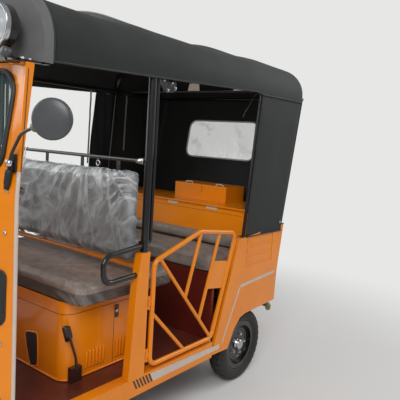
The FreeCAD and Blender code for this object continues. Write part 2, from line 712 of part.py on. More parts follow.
def roof_line(inset, foot):
    """The hood's cross section from one foot to the other, pulled in by an inset."""
    half = HOOD_HALF
    points = [Vector(half, 0, foot), Vector(half, 0, size("hood_eave")), Vector(0, 0, size("hood_ridge")),
              Vector(-half, 0, size("hood_eave")), Vector(-half, 0, foot)]
    edges = []
    start = points[0]
    radii = [size("hood_corner"), CROWN_RADIUS, size("hood_corner")]
    for before, corner, after, bend in zip(points, points[1:], points[2:], radii):
        back = (before - corner).normalize()
        ahead = (after - corner).normalize()
        half_turn = (math.pi - back.getAngle(ahead)) / 2
        inward = (back + ahead).normalize()
        centre = corner + inward * bend / math.cos(half_turn)
        radius = bend - inset
        enter = corner + back * bend * math.tan(half_turn)
        leave = corner + ahead * bend * math.tan(half_turn)
        enter = centre + (enter - centre).normalize() * radius
        leave = centre + (leave - centre).normalize() * radius
        if not edges:
            start = Vector(half - inset, 0, foot)
        edges.append(Part.LineSegment(start, enter))
        edges.append(Part.Arc(enter, centre - inward * radius, leave))
        start = leave
    edges.append(Part.LineSegment(start, Vector(inset - half, 0, foot)))
    return edges


def roof_prism(inset, start_y, end_y, drop=0):
    """The hood's cross section as a solid along Y, open to below by a drop."""
    half, foot = HOOD_HALF - inset, HOOD_FOOT
    edges = [edge.toShape() for edge in roof_line(inset, foot)]
    feet = [Vector(-half, 0, foot), Vector(-half, 0, foot - drop), Vector(half, 0, foot - drop),
            Vector(half, 0, foot)]
    pairs = [pair for pair in zip(feet, feet[1:]) if (pair[0] - pair[1]).Length > 0.01]
    edges += [Part.LineSegment(a, b).toShape() for a, b in pairs]
    face = Part.Face(Part.Wire(Part.sortEdges(edges)[0]))
    face.translate(Vector(0, start_y, 0))
    return face.extrude(Vector(0, end_y - start_y, 0))


def visor_plan(inset, low, high):
    """The visor's plan, bulging forward, as a solid along Z."""
    half = HOOD_HALF - inset
    back = size("hood_front") - size("gap")
    corner = back - size("visor_side")
    nose = corner - size("visor_bulge") + inset
    left, right = Vector(half, corner, low), Vector(-half, corner, low)
    wire = Part.Wire([
        Part.Arc(left, Vector(0, nose, low), right).toShape(),
        Part.LineSegment(right, Vector(-half, back, low)).toShape(),
        Part.LineSegment(Vector(-half, back, low), Vector(half, back, low)).toShape(),
        Part.LineSegment(Vector(half, back, low), left).toShape(),
    ])
    return Part.Face(wire).extrude(Vector(0, 0, high - low))


def visor_shape():
    """The front of the roof: a shell that closes the space over the windscreen."""
    low, high, wall = size("visor_low"), size("hood_ridge"), size("hood_wall")
    start, end = size("hood_front") - 300, size("hood_front")
    outer = visor_plan(0, low, high).common(roof_prism(0, start, end))
    inner = visor_plan(wall, low - wall, high).common(roof_prism(wall, start, end + wall))
    mouth = Part.makeBox(2 * (HOOD_HALF - wall), wall * 2, high - low,
                         Vector(wall - HOOD_HALF, size("hood_front") - wall, low - wall))
    mouth = mouth.common(roof_prism(wall, start, end + wall))
    return outer.cut(inner).cut(mouth)


def roof_lamps_shape():
    """A round lamp with a domed back on a foot at each side of the visor's base."""
    lamps = []
    lamp_x = size("body_half") - size("lamp_inset")
    inner = (lamp_x - size("lamp_radius")) / HOOD_HALF
    front = size("hood_front") - size("visor_side") - size("visor_bulge") * (1 - inner ** 2) - 8
    seat_z = size("cowl_top") + size("gap")
    plate = size("thin_sheet")
    for side in (-1, 1):
        middle = Vector(side * lamp_x, front, size("lamp_z"))
        can = Part.makeCylinder(size("lamp_radius"), size("lamp_depth"), middle, Vector(0, -1, 0))
        rear_edge = [e for e in can.Edges if len(e.Vertexes) == 1 and e.Vertexes[0].Y > front - 1]
        can = can.makeChamfer(22, rear_edge)
        stalk = Part.makeBox(30, 12, size("lamp_z") - seat_z, Vector(middle.x - 15, front - 36, seat_z))
        foot = Part.makeBox(44, size("cowl_top_y") - front + 36, plate,
                            Vector(middle.x - 22, front - 36, seat_z))
        lamps.append(joined([can, stalk, foot]))
    return Part.makeCompound(lamps)


keep(free("cowl_form", cowl_shape()), "front_cowl")
keep(free("screen_form", screen_shape()), "windscreen")
keep(free("visor_form", visor_shape()), "roof_visor")
keep(free("roof_lamps_form", roof_lamps_shape()), "roof_lamps")

# Hood, its tube frame, rear window and side curtain


def hood_profile(inset, drop=0):
    """The hood from the side: level roof, rounded rear corner and a leaning rear face, as a solid along X."""
    crown = size("hood_ridge") - CROWN_RADIUS * (1 / math.cos(ROOF_ANGLE) - 1) - inset
    slope = size("hood_lean") / (size("hood_eave") - HOOD_FOOT)
    foot = HOOD_FOOT - drop
    rear = size("hood_rear") - inset * math.hypot(1, slope)
    front = size("hood_front") - drop
    corner = Vector(0, rear + slope * (crown - HOOD_FOOT), crown)
    rear_foot = Vector(0, rear - slope * drop, foot)
    path = bent_path([Vector(0, front, crown), corner, rear_foot], size("hood_back_radius") - inset)
    close = [Part.LineSegment(rear_foot, Vector(0, front, foot)).toShape(),
             Part.LineSegment(Vector(0, front, foot), Vector(0, front, crown)).toShape()]
    face = Part.Face(Part.Wire(path.Edges + close))
    half = HOOD_HALF + size("sheet")
    face.translate(Vector(-half, 0, 0))
    return face.extrude(Vector(2 * half, 0, 0))


def hood_solid(inset, drop=0):
    """The hood's whole form, pulled in by an inset."""
    start = size("hood_front") - drop
    end = size("hood_rear") + 2 * size("hood_lean")
    return roof_prism(inset, start, end, drop).common(hood_profile(inset, drop))


def side_opening():
    """The open part of both sides, below the valance and ahead of the side cloth."""
    foot, front = HOOD_FOOT, size("hood_front")
    points = [Vector(0, front - 50, foot - 50), Vector(0, size("hood_side_y"), foot - 50),
              Vector(0, size("hood_side_y"), foot),
              Vector(0, size("hood_side_y") + size("hood_side_lean"), size("valance_rear")),
              Vector(0, front - 50, size("valance_front"))]
    face = Part.Face(Part.makePolygon(points + points[:1]))
    half = HOOD_HALF + size("sheet")
    face.translate(Vector(-half, 0, 0))
    return face.extrude(Vector(2 * half, 0, 0))


def window_prism(inset):
    return rounded_window(size("window_half") - inset, size("window_low") + inset,
                          size("window_low") + size("window_height") - inset,
                          size("window_corner") - inset, size("hood_rear") - 150, size("hood_rear") + 350)


def hood_shape():
    """Roof, rear face and side cloths of one hollow hood, with its openings cut."""
    wall = size("hood_wall")
    shell = hood_solid(0).cut(hood_solid(wall, drop=wall))
    return shell.cut(side_opening()).cut(window_prism(0))


def rear_window_shape():
    """Clear film in the rear window's opening."""
    wall = size("hood_wall")
    skin = hood_solid(wall / 4).cut(hood_solid(wall * 3 / 4, drop=wall))
    return skin.common(window_prism(size("gap")))


def curtain_shape():
    """A cloth strip behind the right side's opening, from the valance to over the gate."""
    wall, top = size("hood_wall"), size("valance_front")
    low = size("gate_high") + size("gate_tube") + 25
    slope = size("hood_side_lean") / (size("valance_rear") - HOOD_FOOT)
    rear_low = size("hood_side_y") + slope * (low - HOOD_FOOT) - size("gap")
    rear_high = size("hood_side_y") + slope * (top - HOOD_FOOT) - size("gap")
    width = size("curtain_width")
    rise = (size("valance_rear") - size("valance_front")) / (
        size("hood_side_y") + size("hood_side_lean") - size("hood_front"))
    hang_rear = top + rise * (rear_high - size("hood_front")) - size("gap")
    hang_front = top + rise * (rear_high - width - size("hood_front")) - size("gap")
    points = [Vector(0, rear_low - width, low), Vector(0, rear_low, low), Vector(0, rear_high, hang_rear),
              Vector(0, rear_high - width, hang_front)]
    face = Part.Face(Part.makePolygon(points + points[:1]))
    face.translate(Vector(-HOOD_HALF, 0, 0))
    return face.extrude(Vector(wall, 0, 0))


tail_high = size("tail_y") + size("tail_lean")
quarter_high = size("quarter_top") + size("quarter_rise")


def pillar_side():
    """The door pillar's middle from the centre plane."""
    return HOOD_HALF - size("hood_wall") - size("gap") - size("pillar_radius") - 3


def quarter_edge(y):
    """Height of the rear quarter's top edge."""
    front = size("quarter_front") + size("quarter_lean")
    return size("quarter_top") + size("quarter_rise") * (y - front) / (tail_high - front)


def square_bow(y, foot):
    """A bow of square tube under the hood, from foot to foot."""
    tube, seated = size("bow_tube"), size("hood_wall") + size("gap")
    inside = roof_prism(seated + 2 * tube, y - 2 * tube, y + 2 * tube, tube)
    bow = roof_prism(seated, y - tube, y + tube).cut(inside)
    below = Part.makeBox(2 * HOOD_HALF, 4 * tube, foot - HOOD_FOOT + tube,
                         Vector(-HOOD_HALF, y - 2 * tube, HOOD_FOOT - tube))
    return bow.cut(below)


def roof_frame_shape():
    """Square bows over the roof, side rails, door pillars with their stays, and the rear uprights."""
    tube, rail = size("bow_tube"), size("rail_tube")
    inset = size("hood_wall") + size("gap") + tube
    side_x = HOOD_HALF - inset
    rail_x = side_x + tube - rail - 0.5
    rail_z = size("valance_rear") + rail
    front_bow = size("hood_front") - 18
    pillar_x = pillar_side()
    pillar_y = size("post_y") - size("pillar_radius")
    pillar_foot = size("post_top") + size("gap")
    stay_y = pillar_y + size("pillar_radius") + size("stay_radius") + 10
    rear_bow = size("hood_rear") - 40
    slope = size("hood_lean") / (size("hood_eave") - HOOD_FOOT)
    side_slope = size("hood_side_lean") / (size("valance_rear") - HOOD_FOOT)
    middle_y = size("hood_side_y") + side_slope * (rail_z - HOOD_FOOT) + tube + 2
    rear_end = size("hood_rear") + slope * (rail_z - HOOD_FOOT) - inset - 8
    under_rail = rail_z - rail - 8
    parts = []
    # Each row is a bow's middle along Y and the height of its feet.
    bows = [(front_bow, size("cowl_top") + size("gap")), (pillar_y, under_rail), (middle_y, under_rail),
            (rear_bow, under_rail)]
    for y, foot in bows:
        parts.append(square_bow(y, foot))
    for side in (-1, 1):
        x, post_x = side * rail_x, side * pillar_x
        parts.append(rod([Vector(x, front_bow, rail_z), Vector(x, rear_end, rail_z)], rail))
        parts.append(rod([Vector(post_x, pillar_y, pillar_foot), Vector(post_x, pillar_y, rail_z + rail + 3)],
                         size("pillar_radius")))
        stay = [Vector(post_x, pillar_y, pillar_foot + 40), Vector(post_x, stay_y, pillar_foot + 40),
                Vector(post_x, stay_y, rail_z)]
        parts.append(rod(stay, size("stay_radius"), 16))
        # Each row is a leg's lean and its top; both stand on a plate on the body's top edge.
        for lean_y, top_y in ((slope, rear_end - 6), (side_slope, middle_y + 4)):
            foot_y = top_y - lean_y * (rail_z - size("quarter_top"))
            plate_rear = foot_y + 22
            plate_z = min(quarter_edge(plate_rear), quarter_high) + size("gap")
            parts.append(Part.makeBox(36, 50, size("thin_sheet"),
                                      Vector(x - side * 6 - 18, foot_y - 28, plate_z)))
            parts.append(rod([Vector(x - side * 6, foot_y, plate_z + tube * lean_y),
                              Vector(x - side * 1, top_y, rail_z)], tube - 1.5))
    for y in (rear_end - 6, middle_y + 4):
        parts.append(rod([Vector(-rail_x, y, rail_z), Vector(rail_x, y, rail_z)], tube - 2))
    return joined(parts)


keep(free("hood_form", hood_shape()), "hood")
keep(free("rear_window_form", rear_window_shape()), "rear_window")
keep(free("curtain_form", curtain_shape()), "side_curtain")
keep(free("roof_frame_form", roof_frame_shape()), "roof_frame")

# Door posts and gates

post_y, post_top = size("post_y"), size("post_top")
floor_z = size("floor_height") + size("gap")
post_outline = [(post_y - size("post_foot"), floor_z), (post_y, floor_z), (post_y, post_top - 60),
                (post_y + 4, post_top), (post_y - size("post_head"), post_top),
                (post_y - size("post_head") - 22, post_top - 150)]
post_pad = pad("post_left", post_outline, "post_depth")
seat(post_pad, "body_half - post_depth")


def hinge_places():
    """Heights of the middles of the two gate hinges."""
    return (size("gate_low") + 60, size("gate_nose") - 195)


def hinge_half(on_gate):
    """The gate's or the post's knuckles, leaves and pins of both hinges, on the left side."""
    radius, pin = size("hinge_radius"), size("hinge_pin")
    x, y = size("body_half") - size("gate_tube"), size("hinge_y")
    up = Vector(0, 0, 1)
    parts = []
    for z in hinge_places():
        if on_gate:
            knuckle = Part.makeCylinder(radius, 30, Vector(x, y, z - 15), up)
            leaf = Part.makeBox(6, size("gate_front") - y, 30, Vector(x - 3, y, z - 15))
            bore = Part.makeCylinder(pin + 0.5, 30, Vector(x, y, z - 15), up)
            parts.append(knuckle.fuse(leaf).cut(bore))
        else:
            for low in (z - 32, z + 16):
                parts.append(Part.makeCylinder(radius, 16, Vector(x, y, low), up))
                parts.append(Part.makeBox(6, y - size("post_y") + 2, 16,
                                          Vector(x - 3, size("post_y") - 2, low)))
            parts.append(Part.makeCylinder(pin, 64, Vector(x, y, z - 32), up))
    return parts


def gate_shape():
    """A bent tube frame with two uprights, two slanting bars and a corner sheet, on the left side."""
    x = size("body_half") - size("gate_tube")
    low, high, nose = size("gate_low"), size("gate_high"), size("gate_nose")
    front, foot, head, knee = size("gate_front"), size("gate_foot"), size("gate_head"), size("gate_knee")
    tube, bar = size("gate_tube"), size("gate_rod")
    drop = size("gate_drop")

    def at(y, z):
        return Vector(x, y, z)

    middle = (front + foot) / 2
    corners = [at(middle, low), at(foot, low), at(head, high - drop), at(knee, high), at(front, nose),
               at(front, low), at(middle, low)]
    parts = [rod(corners, tube, size("gate_bend"))]
    # The rear tube leans, and the uprights lean with it.
    lean_y = (head - foot) / (high - drop - low)
    diagonal = (at(front + 40, nose + 10), at(foot - 6, low + 4))
    slope = (diagonal[1].z - diagonal[0].z) / (diagonal[1].y - diagonal[0].y)
    for top in (knee + 12, (knee + head) / 2 + 10):
        top_z = high - drop * (top - knee) / (head - knee)
        # The upright starts where it meets the long diagonal.
        low_y = (top_z - diagonal[0].z + slope * diagonal[0].y - top / lean_y) / (slope - 1 / lean_y)
        low_z = diagonal[0].z + slope * (low_y - diagonal[0].y)
        parts.append(rod([at(top, top_z), at(low_y, low_z)], bar))
    parts.append(rod(list(diagonal), bar))
    parts.append(rod([at(front, nose - 250), at(front + 0.53 * (foot - front), low)], bar))
    corner_top, corner_low = high - 190, high - 340
    upright_top = (knee + head) / 2 + 10

    def leaning(y_at_top, z):
        return y_at_top - lean_y * (high - drop - z)

    points = [at(leaning(upright_top, corner_top), corner_top + 12),
              at(leaning(head, corner_top), corner_top - 12),
              at(leaning(head, corner_low), corner_low - 12),
              at(leaning(upright_top, corner_low), corner_low + 12)]
    sheet_face = Part.Face(Part.makePolygon(points + points[:1]))
    sheet_face.translate(Vector(-size("thin_sheet") / 2, 0, 0))
    parts.append(sheet_face.extrude(Vector(size("thin_sheet"), 0, 0)))
    return joined(parts + hinge_half(True))


def grab_loop_shape():
    """A U of tube ahead of the pillar, on the left side."""
    x = size("body_half") - size("post_depth") / 2
    rear = size("post_y") - 2 * size("pillar_radius") - size("gap")
    high, low, reach = size("loop_high"), size("loop_low"), size("loop_reach")
    tube = size("loop_tube")
    front = size("post_y") - reach
    points = [Vector(x, rear, high), Vector(x, front, high - 22), Vector(x, front + 12, low - 4),
              Vector(x, rear, low + 8)]
    loop = rod(points, tube, 44)
    lug = Part.makeBox(2 * tube + 10, 5, 2 * tube + 16, Vector(x - tube - 5, rear - 5, high - tube - 8))
    corners = [Vector(0, y - size("gap"), z) for y, z in post_outline]
    post_face = Part.Face(Part.makePolygon(corners + corners[:1]))
    post_room = post_face.extrude(Vector(2 * size("body_half"), 0, 0))
    pillar_room = Part.makeCylinder(size("pillar_radius") + size("gap"), 2 * high,
                                    Vector(pillar_side(), size("post_y") - size("pillar_radius"), 0))
    return joined([loop, lug]).cut(post_room).cut(pillar_room)


post_hinges = free("post_hinges", joined(hinge_half(False)[:2]).multiFuse(hinge_half(False)[2:]))
post_left = fuse("post_left_whole", [post_pad, post_hinges])
keep(group("posts_pair", [post_left, mirror("post_right", post_left)]), "door_posts")
gate_left = keep(free("gate_form", gate_shape()), "gate_left")
keep(mirror("gate_mirrored", gate_left), "gate_right")
loop_left = free("loop_left", grab_loop_shape())
keep(group("loops_pair", [loop_left, mirror("loop_right", loop_left)]), "grab_loops")

# Seat box, seats and bars in the middle

box_height = "seat_height - floor_height - 2 * gap"
seat_shell = block("seat_shell", "2 * (body_half - box_inset)", "box_rear - box_front", box_height,
                   "box_inset - body_half", "box_front", "floor_height + gap")
seat_rounded = doc.addObject("Part::Fillet", "seat_rounded")
seat_rounded.Base = seat_shell
doc.recompute()
corner = size("box_corner")
seat_rounded.Edges = [(number, corner, corner) for number, edge in enumerate(seat_shell.Shape.Edges, start=1)
                      if abs(edge.Vertexes[0].Z - edge.Vertexes[1].Z) > corner]
seat_hollow = block("seat_hollow", "2 * (body_half - box_inset - thin_sheet)",
                    "box_rear - box_front - 2 * thin_sheet", f"{box_height} - thin_sheet",
                    "thin_sheet + box_inset - body_half", "box_front + thin_sheet",
                    "floor_height - gap")
seat_hollow_rounded = doc.addObject("Part::Fillet", "seat_hollow_rounded")
seat_hollow_rounded.Base = seat_hollow
doc.recompute()
inner_corner = corner - size("thin_sheet")
seat_hollow_rounded.Edges = [
    (number, inner_corner, inner_corner) for number, edge in enumerate(seat_hollow.Shape.Edges, start=1)
    if abs(edge.Vertexes[0].Z - edge.Vertexes[1].Z) > corner]
keep(cut("seat_box_cut", seat_rounded, seat_hollow_rounded), "seat_box")
keep(block("battery_block", "battery_length", "battery_depth", "battery_height", "-battery_length / 2",
           "(box_front + box_rear - battery_depth) / 2", "floor_height + gap"), "battery")


def cushion(half, front, rear, low, thick, crown):
    """A plain cushion with rounded upright corners and an eased top edge."""
    slab = Part.makeBox(2 * half, rear - front, thick, Vector(-half, front, low))
    upright = [e for e in slab.Edges if abs(e.Vertexes[0].Z - e.Vertexes[1].Z) > thick / 2]
    slab = slab.makeFillet(crown * 1.6, upright)
    top = [e for e in slab.Edges if e.BoundBox.ZMin > low + thick - 0.1]
    return slab.makeChamfer(crown, top)


keep(free("front_cushion_form", cushion(size("body_half") - size("seat_inset"), size("seat_front"),
                                        size("seat_rear"), size("seat_height"), size("seat_thick"), 28)),
     "front_seat_cushion")


def bars_shape():
    """The two cross bars between the posts, with the end fittings of the upper one."""
    y = size("post_y") - size("pillar_radius")
    low_half = size("body_half") - size("post_depth") - size("gap")
    high_half = pillar_side() - size("pillar_radius") - size("gap")
    low = rod([Vector(-low_half, y, size("low_bar_z")), Vector(low_half, y, size("low_bar_z"))],
              size("low_bar_radius"))
    high = [rod([Vector(-high_half, y, size("high_bar_z")), Vector(high_half, y, size("high_bar_z"))],
                size("high_bar_radius"))]
    for side in (-1, 1):
        end = Vector(side * high_half, y, size("high_bar_z"))
        high.append(rod([end, end - Vector(side * 34, 0, 0)], size("high_bar_radius") + 5))
    hangers = []
    for x in (-0.7, -0.25, 0.25, 0.7):
        hangers.append(Part.makeBox(24, 3, size("high_bar_z") - size("low_bar_z"),
                                    Vector(x * low_half - 12, y - 1.5, size("low_bar_z"))))
    return joined([low] + high + hangers)


keep(free("bars_form", bars_shape()), "backrest_bars")
pad_rear = size("post_y") - size("pillar_radius") - size("low_bar_radius") - size("gap")


def backrest_shape():
    """The driver's backrest: a slab with rounded corners."""
    half, thick = size("body_half") - size("pad_inset"), size("pad_thick")
    slab = Part.makeBox(2 * half, thick, size("pad_high") - size("pad_low"),
                        Vector(-half, pad_rear - thick, size("pad_low")))
    long_edges = [e for e in slab.Edges if abs(e.Vertexes[0].Y - e.Vertexes[1].Y) > thick / 2]
    slab = slab.makeFillet(45, long_edges)
    front = [e for e in slab.Edges if e.BoundBox.YMax < pad_rear - thick + 0.1]
    return slab.makeChamfer(16, front)


keep(free("backrest_form", backrest_shape()), "driver_backrest")


def controls_shape():
    """The parking brake lever beside the seat box, and the brake pedal on the floor."""
    x = BOX_HALF + 24
    y = size("box_front") + 55
    floor = size("floor_height") + size("gap")
    foot = Part.makeBox(24, 60, 70, Vector(x - 24 + size("gap"), y - 30, floor))
    pivot = Vector(x, y, floor + 60)
    lever = rod([pivot, pivot + Vector(0, -8, 60), pivot + Vector(0, -46, 170)], 6, 40)
    knob = rod([pivot + Vector(0, -44, 164), pivot + Vector(0, -58, 215)], 12)
    joint = Part.makeCylinder(14, 20, pivot - Vector(16, 0, 0), Vector(1, 0, 0))
    brake = joined([foot, joint, lever, knob])
    toe = Vector(-170, size("sill_front") + 110, floor)
    plate = Part.makeBox(70, 60, 10, toe + Vector(-35, -60, 62))
    stem = rod([toe + Vector(0, 20, 8), toe + Vector(0, -30, 66)], 7)
    base = Part.makeBox(60, 50, 14, toe + Vector(-30, 0, 0))
    return Part.makeCompound([brake, joined([base, stem, plate])])


keep(free("controls_form", controls_shape()), "driver_controls")

# Rear bench, parcel box and tool chest

bench_wall = block("bench_wall", f"2 * ({bench_inner})", "sheet", "bench_height - floor_height - 2 * gap",
                   f"-({bench_inner})", "bench_front", "floor_height + gap")
bench_top = block("bench_top", f"2 * ({bench_inner})", "shelf_y - bench_front - gap", "sheet",
                  f"-({bench_inner})", "bench_front", "bench_height - gap - sheet")
keep(fuse("bench_joined", [bench_wall, bench_top]), "bench_box")
shelf_inner = "body_half - sheet - gap"

shelf_rear = "tail_y - sheet - gap"
shelf_outer = block("shelf_outer", f"2 * ({shelf_inner})", f"{shelf_rear} - shelf_y",
                    "shelf_top - deck_height - gap", f"-({shelf_inner})", "shelf_y", "deck_height + gap")
shelf_hollow = block("shelf_hollow", f"2 * ({shelf_inner} - sheet)", f"{shelf_rear} - shelf_y - 2 * sheet",
                     "shelf_top - deck_height - 2 * sheet", f"sheet - ({shelf_inner})",
                     "shelf_y + sheet", "deck_height + gap + sheet / 2")
shelf_lip = block("shelf_lip_block", f"2 * ({shelf_inner})", "shelf_lip + sheet", "sheet / 2",
                  f"-({shelf_inner})", "shelf_y - shelf_lip", "shelf_top - sheet / 2")
keep(fuse("shelf_joined", [cut("shelf_cut", shelf_outer, shelf_hollow), shelf_lip]), "parcel_box")
keep(free("bench_cushion_form", cushion(size("body_half") - size("sheet") - 22, size("bench_front") - 12,
                                        size("shelf_y") - size("gap"), size("bench_height"),
                                        size("cushion_thick"), 26)), "rear_seat_cushion")


def roll_shape():
    """The rear backrest: a long roll on the cushion, against the parcel box."""
    low = size("bench_height") + size("cushion_thick") + size("gap")
    half = size("body_half") - size("sheet") - 30
    rear = size("shelf_y") - size("gap")
    slab = Part.makeBox(2 * half, size("roll_thick"), size("roll_height"),
                        Vector(-half, rear - size("roll_thick"), low))
    front = [e for e in slab.Edges if e.BoundBox.YMax < rear - size("roll_thick") + 0.1]
    return slab.makeFillet(22, front)


keep(free("roll_form", roll_shape()), "rear_backrest")

chest_x = "chest_left - chest_length"
chest_outer = block("chest_outer", "chest_length", "chest_depth", "chest_height",
                    chest_x, "chest_y", "shelf_top + gap")
chest_hollow = block("chest_hollow", "chest_length - 2 * thin_sheet", "chest_depth - 2 * thin_sheet",
                     "chest_height", f"{chest_x} + thin_sheet", "chest_y + thin_sheet",
                     "shelf_top + gap + thin_sheet")
chest_pin_z = "shelf_top + gap + chest_height - hinge_radius"
chest_lug = block("chest_lug", "40", "hinge_radius + 2", "2 * hinge_radius",
                  f"{chest_x} + chest_length / 2 - 20", "chest_y + chest_depth",
                  f"{chest_pin_z} - hinge_radius")
chest_pin = drum("chest_pin", "hinge_pin", "chest_length - 120", f"{chest_x} + 60",
                 "chest_y + chest_depth + hinge_radius + 2", chest_pin_z, Vector(1, 0, 0))
keep(fuse("chest_joined", [cut("chest_cut", chest_outer, chest_hollow), chest_lug, chest_pin]), "tool_chest")


def lid_shape():
    """The chest's lid with its turned-down rim, two hinge ears and the front catch."""
    thin, length, depth = size("thin_sheet"), size("chest_length"), size("chest_depth")
    left = size("chest_left") - length
    low = size("shelf_top") + size("gap") + size("chest_height") + size("gap")
    y = size("chest_y")
    top = Part.makeBox(length, depth, size("lid_height"), Vector(left, y, low))
    hollow = Part.makeBox(length - 2 * thin, depth - 2 * thin, size("lid_height"),
                          Vector(left + thin, y + thin, low - thin))
    parts = [top.cut(hollow)]
    axis = Vector(left, y + depth + size("hinge_radius") + 2, low - size("gap") - size("hinge_radius"))
    for start in (66, length - 96):
        ear = Part.makeCylinder(size("hinge_radius"), 30, axis + Vector(start, 0, 0), Vector(1, 0, 0))
        leaf = Part.makeBox(30, size("hinge_radius") + 6, 6, Vector(left + start, y + depth - 4, low + 2))
        drop = Part.makeBox(30, 6, low + 8 - axis.z, Vector(left + start, axis.y - 3 + 4, axis.z))
        bore = Part.makeCylinder(size("hinge_pin") + 0.5, 30, axis + Vector(start, 0, 0), Vector(1, 0, 0))
        parts.append(joined([ear, leaf, drop]).cut(bore))
    catch = Part.makeBox(36, 5, 44, Vector(left + length / 2 - 18, y - 5 - size("gap"), low - 26))
    bridge = Part.makeBox(36, 6, 12, Vector(left + length / 2 - 18, y - 5, low + 4))
    return joined(parts + [catch, bridge])


keep(free("lid_form", lid_shape()), "tool_chest_lid")

# Rear quarters, tail panel, lamps and bumper

tail_y, knee_z = size("tail_y"), size("tail_knee")
arch_y = size("rear_axle_y")
quarter_outline = [
    (size("quarter_front"), size("floor_height") - size("sill_height") + 12),
    (arch_y - 210, size("floor_height") - size("sill_height") + 6),
    (arch_y - 158, size("quarter_low") - 76),
    (arch_y - 98, size("quarter_low") - 14),
    (arch_y - 44, size("quarter_low")),
    (tail_y, size("quarter_low") + 12),
    (tail_y + 5, knee_z),
    (tail_high, quarter_high),
    (size("quarter_front") + size("quarter_lean"), size("quarter_top")),
]
quarter_pad = pad("quarter_pad", quarter_outline, "sheet")
seat(quarter_pad, "body_half - sheet")
field_y, field_z = size("quarter_front") + size("quarter_lean") + 78, size("quarter_top") - 178


def quarter_field():
    """The sunk field of the rear quarter, less its three raised bars."""
    length, height, sink = 316, 184, 3
    x = size("body_half") - sink
    parts = Part.makeBox(sink * 2, length, height, Vector(x, field_y, field_z))
    for row in range(3):
        bar = Part.makeBox(sink * 2, length - 36, 34, Vector(x, field_y + 18, field_z + 20 + row * 56))
        parts = parts.cut(bar)
    return parts


field_left = free("field_left", quarter_field())
quarter_left = keep(cut("quarter_left_cut", quarter_pad, field_left), "rear_quarter_left")
keep(mirror("quarter_right_mirrored", quarter_left), "rear_quarter_right")

tail_low = size("quarter_low") + 12
tail_outline = [(tail_y - size("sheet"), tail_low), (tail_y, tail_low), (tail_y + 5, knee_z),
                (tail_high, quarter_high),
                (tail_high - size("sheet"), quarter_high),
                (tail_y + 5 - size("sheet"), knee_z)]
keep(pad("tail_pad", tail_outline, "2 * (body_half - sheet - gap)", middle=True), "tail_panel")


def tail_lamps_shape():
    """A tall lamp at each end of the tail panel, on its leaning part."""
    lean_y = (size("tail_lean") - 5) / (quarter_high - knee_z)
    low, high, depth = knee_z + 10, knee_z + 180, 28
    points = [Vector(0, tail_y + 5 + lean_y * (z - knee_z) + out, z)
              for z, out in ((low, size("gap")), (low, depth), (high, depth), (high, size("gap")))]
    face = Part.Face(Part.makePolygon(points + points[:1]))
    width, edge = 62, size("body_half") - size("sheet") - 4
    lamp = face.extrude(Vector(width, 0, 0))
    left = lamp.translated(Vector(edge - width, 0, 0))
    right = lamp.translated(Vector(-edge, 0, 0))
    return Part.makeCompound([left, right])


keep(free("tail_lamps_form", tail_lamps_shape()), "tail_lamps")


def bumper_shape():
    """A bent bar behind the tail, on two arms from the rails."""
    half, y, z = size("body_half") - 40, size("bumper_y") - 18, size("bumper_z")
    bar = rod([Vector(-half, y - 60, z), Vector(-half + 30, y, z), Vector(half - 30, y, z),
               Vector(half, y - 60, z)], 18, 40)
    parts = [bar]
    rail_end = size("rail_rear") + size("gap")
    top = size("floor_height") - size("floor_thick") - size("gap")
    for side in (-1, 1):
        x = side * size("rail_x")
        plate = Part.makeBox(size("rail_width"), 8, z + 18 - top + size("rail_height"),
                             Vector(x - size("rail_width") / 2, rail_end, top - size("rail_height")))
        arm = Part.makeBox(size("rail_width") - 8, y - rail_end, 24,
                           Vector(x - size("rail_width") / 2 + 4, rail_end, z - 12))
        parts += [plate, arm]
    thick, eye = size("tow_plate"), Vector(0, y, z - size("tow_drop"))
    lug = Part.makeBox(thick, 40, size("tow_drop") + 22, Vector(-thick / 2, y - 20, eye.z - 22))
    bore = Part.makeCylinder(size("tow_eye"), thick, eye - Vector(thick / 2, 0, 0), Vector(1, 0, 0))
    return joined(parts + [lug]).cut(bore)


keep(free("bumper_form", bumper_shape()), "rear_bumper")


def mirrors_shape():
    """A round mirror on a bent stalk at each side of the cowl."""
    y = size("cowl_side_y") - 34
    low = size("screen_low") - 20
    x = COWL_HALF - 28
    middle_x = size("body_half") + size("mirror_reach")
    parts = [Part.makeCylinder(13, 90, Vector(x, y, low - 10), Vector(0, 0, 1)),
             Part.makeCylinder(10, 60, Vector(x, y, low + 30), Vector(0, 1, 0)),
             rod([Vector(x, y, low + 60), Vector(x, y, low + 130),
                  Vector(middle_x - 30, y, size("mirror_z") - 10)], 6, 50)]
    disc = Part.makeCylinder(size("mirror_radius"), size("mirror_thick"),
                             Vector(middle_x, y - 4, size("mirror_z")), Vector(0, 1, 0))
    back = [e for e in disc.Edges if len(e.Vertexes) == 1 and e.Vertexes[0].Y < y - 3]
    parts.append(disc.makeChamfer(9, back))
    left = joined(parts).cut(cowl_solid(-size("gap")))
    left = max(left.Solids, key=lambda solid: solid.Volume)
    right = left.mirror(Vector(), Vector(1, 0, 0))
    return Part.makeCompound([left, right])


keep(free("mirrors_form", mirrors_shape()), "mirrors")


def headlamps_shape():
    """A deep square-cornered lamp body in each side of the cowl's face."""
    half_wide, high = 85, 205
    lamps = []
    for side in (-1, 1):
        x = side * (COWL_HALF - 55 - half_wide)
        low = size("cowl_nose_height") + 160
        slab = Part.makeBox(2 * half_wide, 400, high, Vector(x - half_wide, size("cowl_side_y") - 300, low))
        upright = [e for e in slab.Edges if abs(e.Vertexes[0].Y - e.Vertexes[1].Y) > 100]
        slab = slab.makeFillet(20, upright)
        front = cowl_solid(-10).cut(cowl_solid(-size("gap"), grow=50))
        lamps.append(slab.common(front))
    return Part.makeCompound(lamps)


keep(free("headlamps_form", headlamps_shape()), "headlamps")


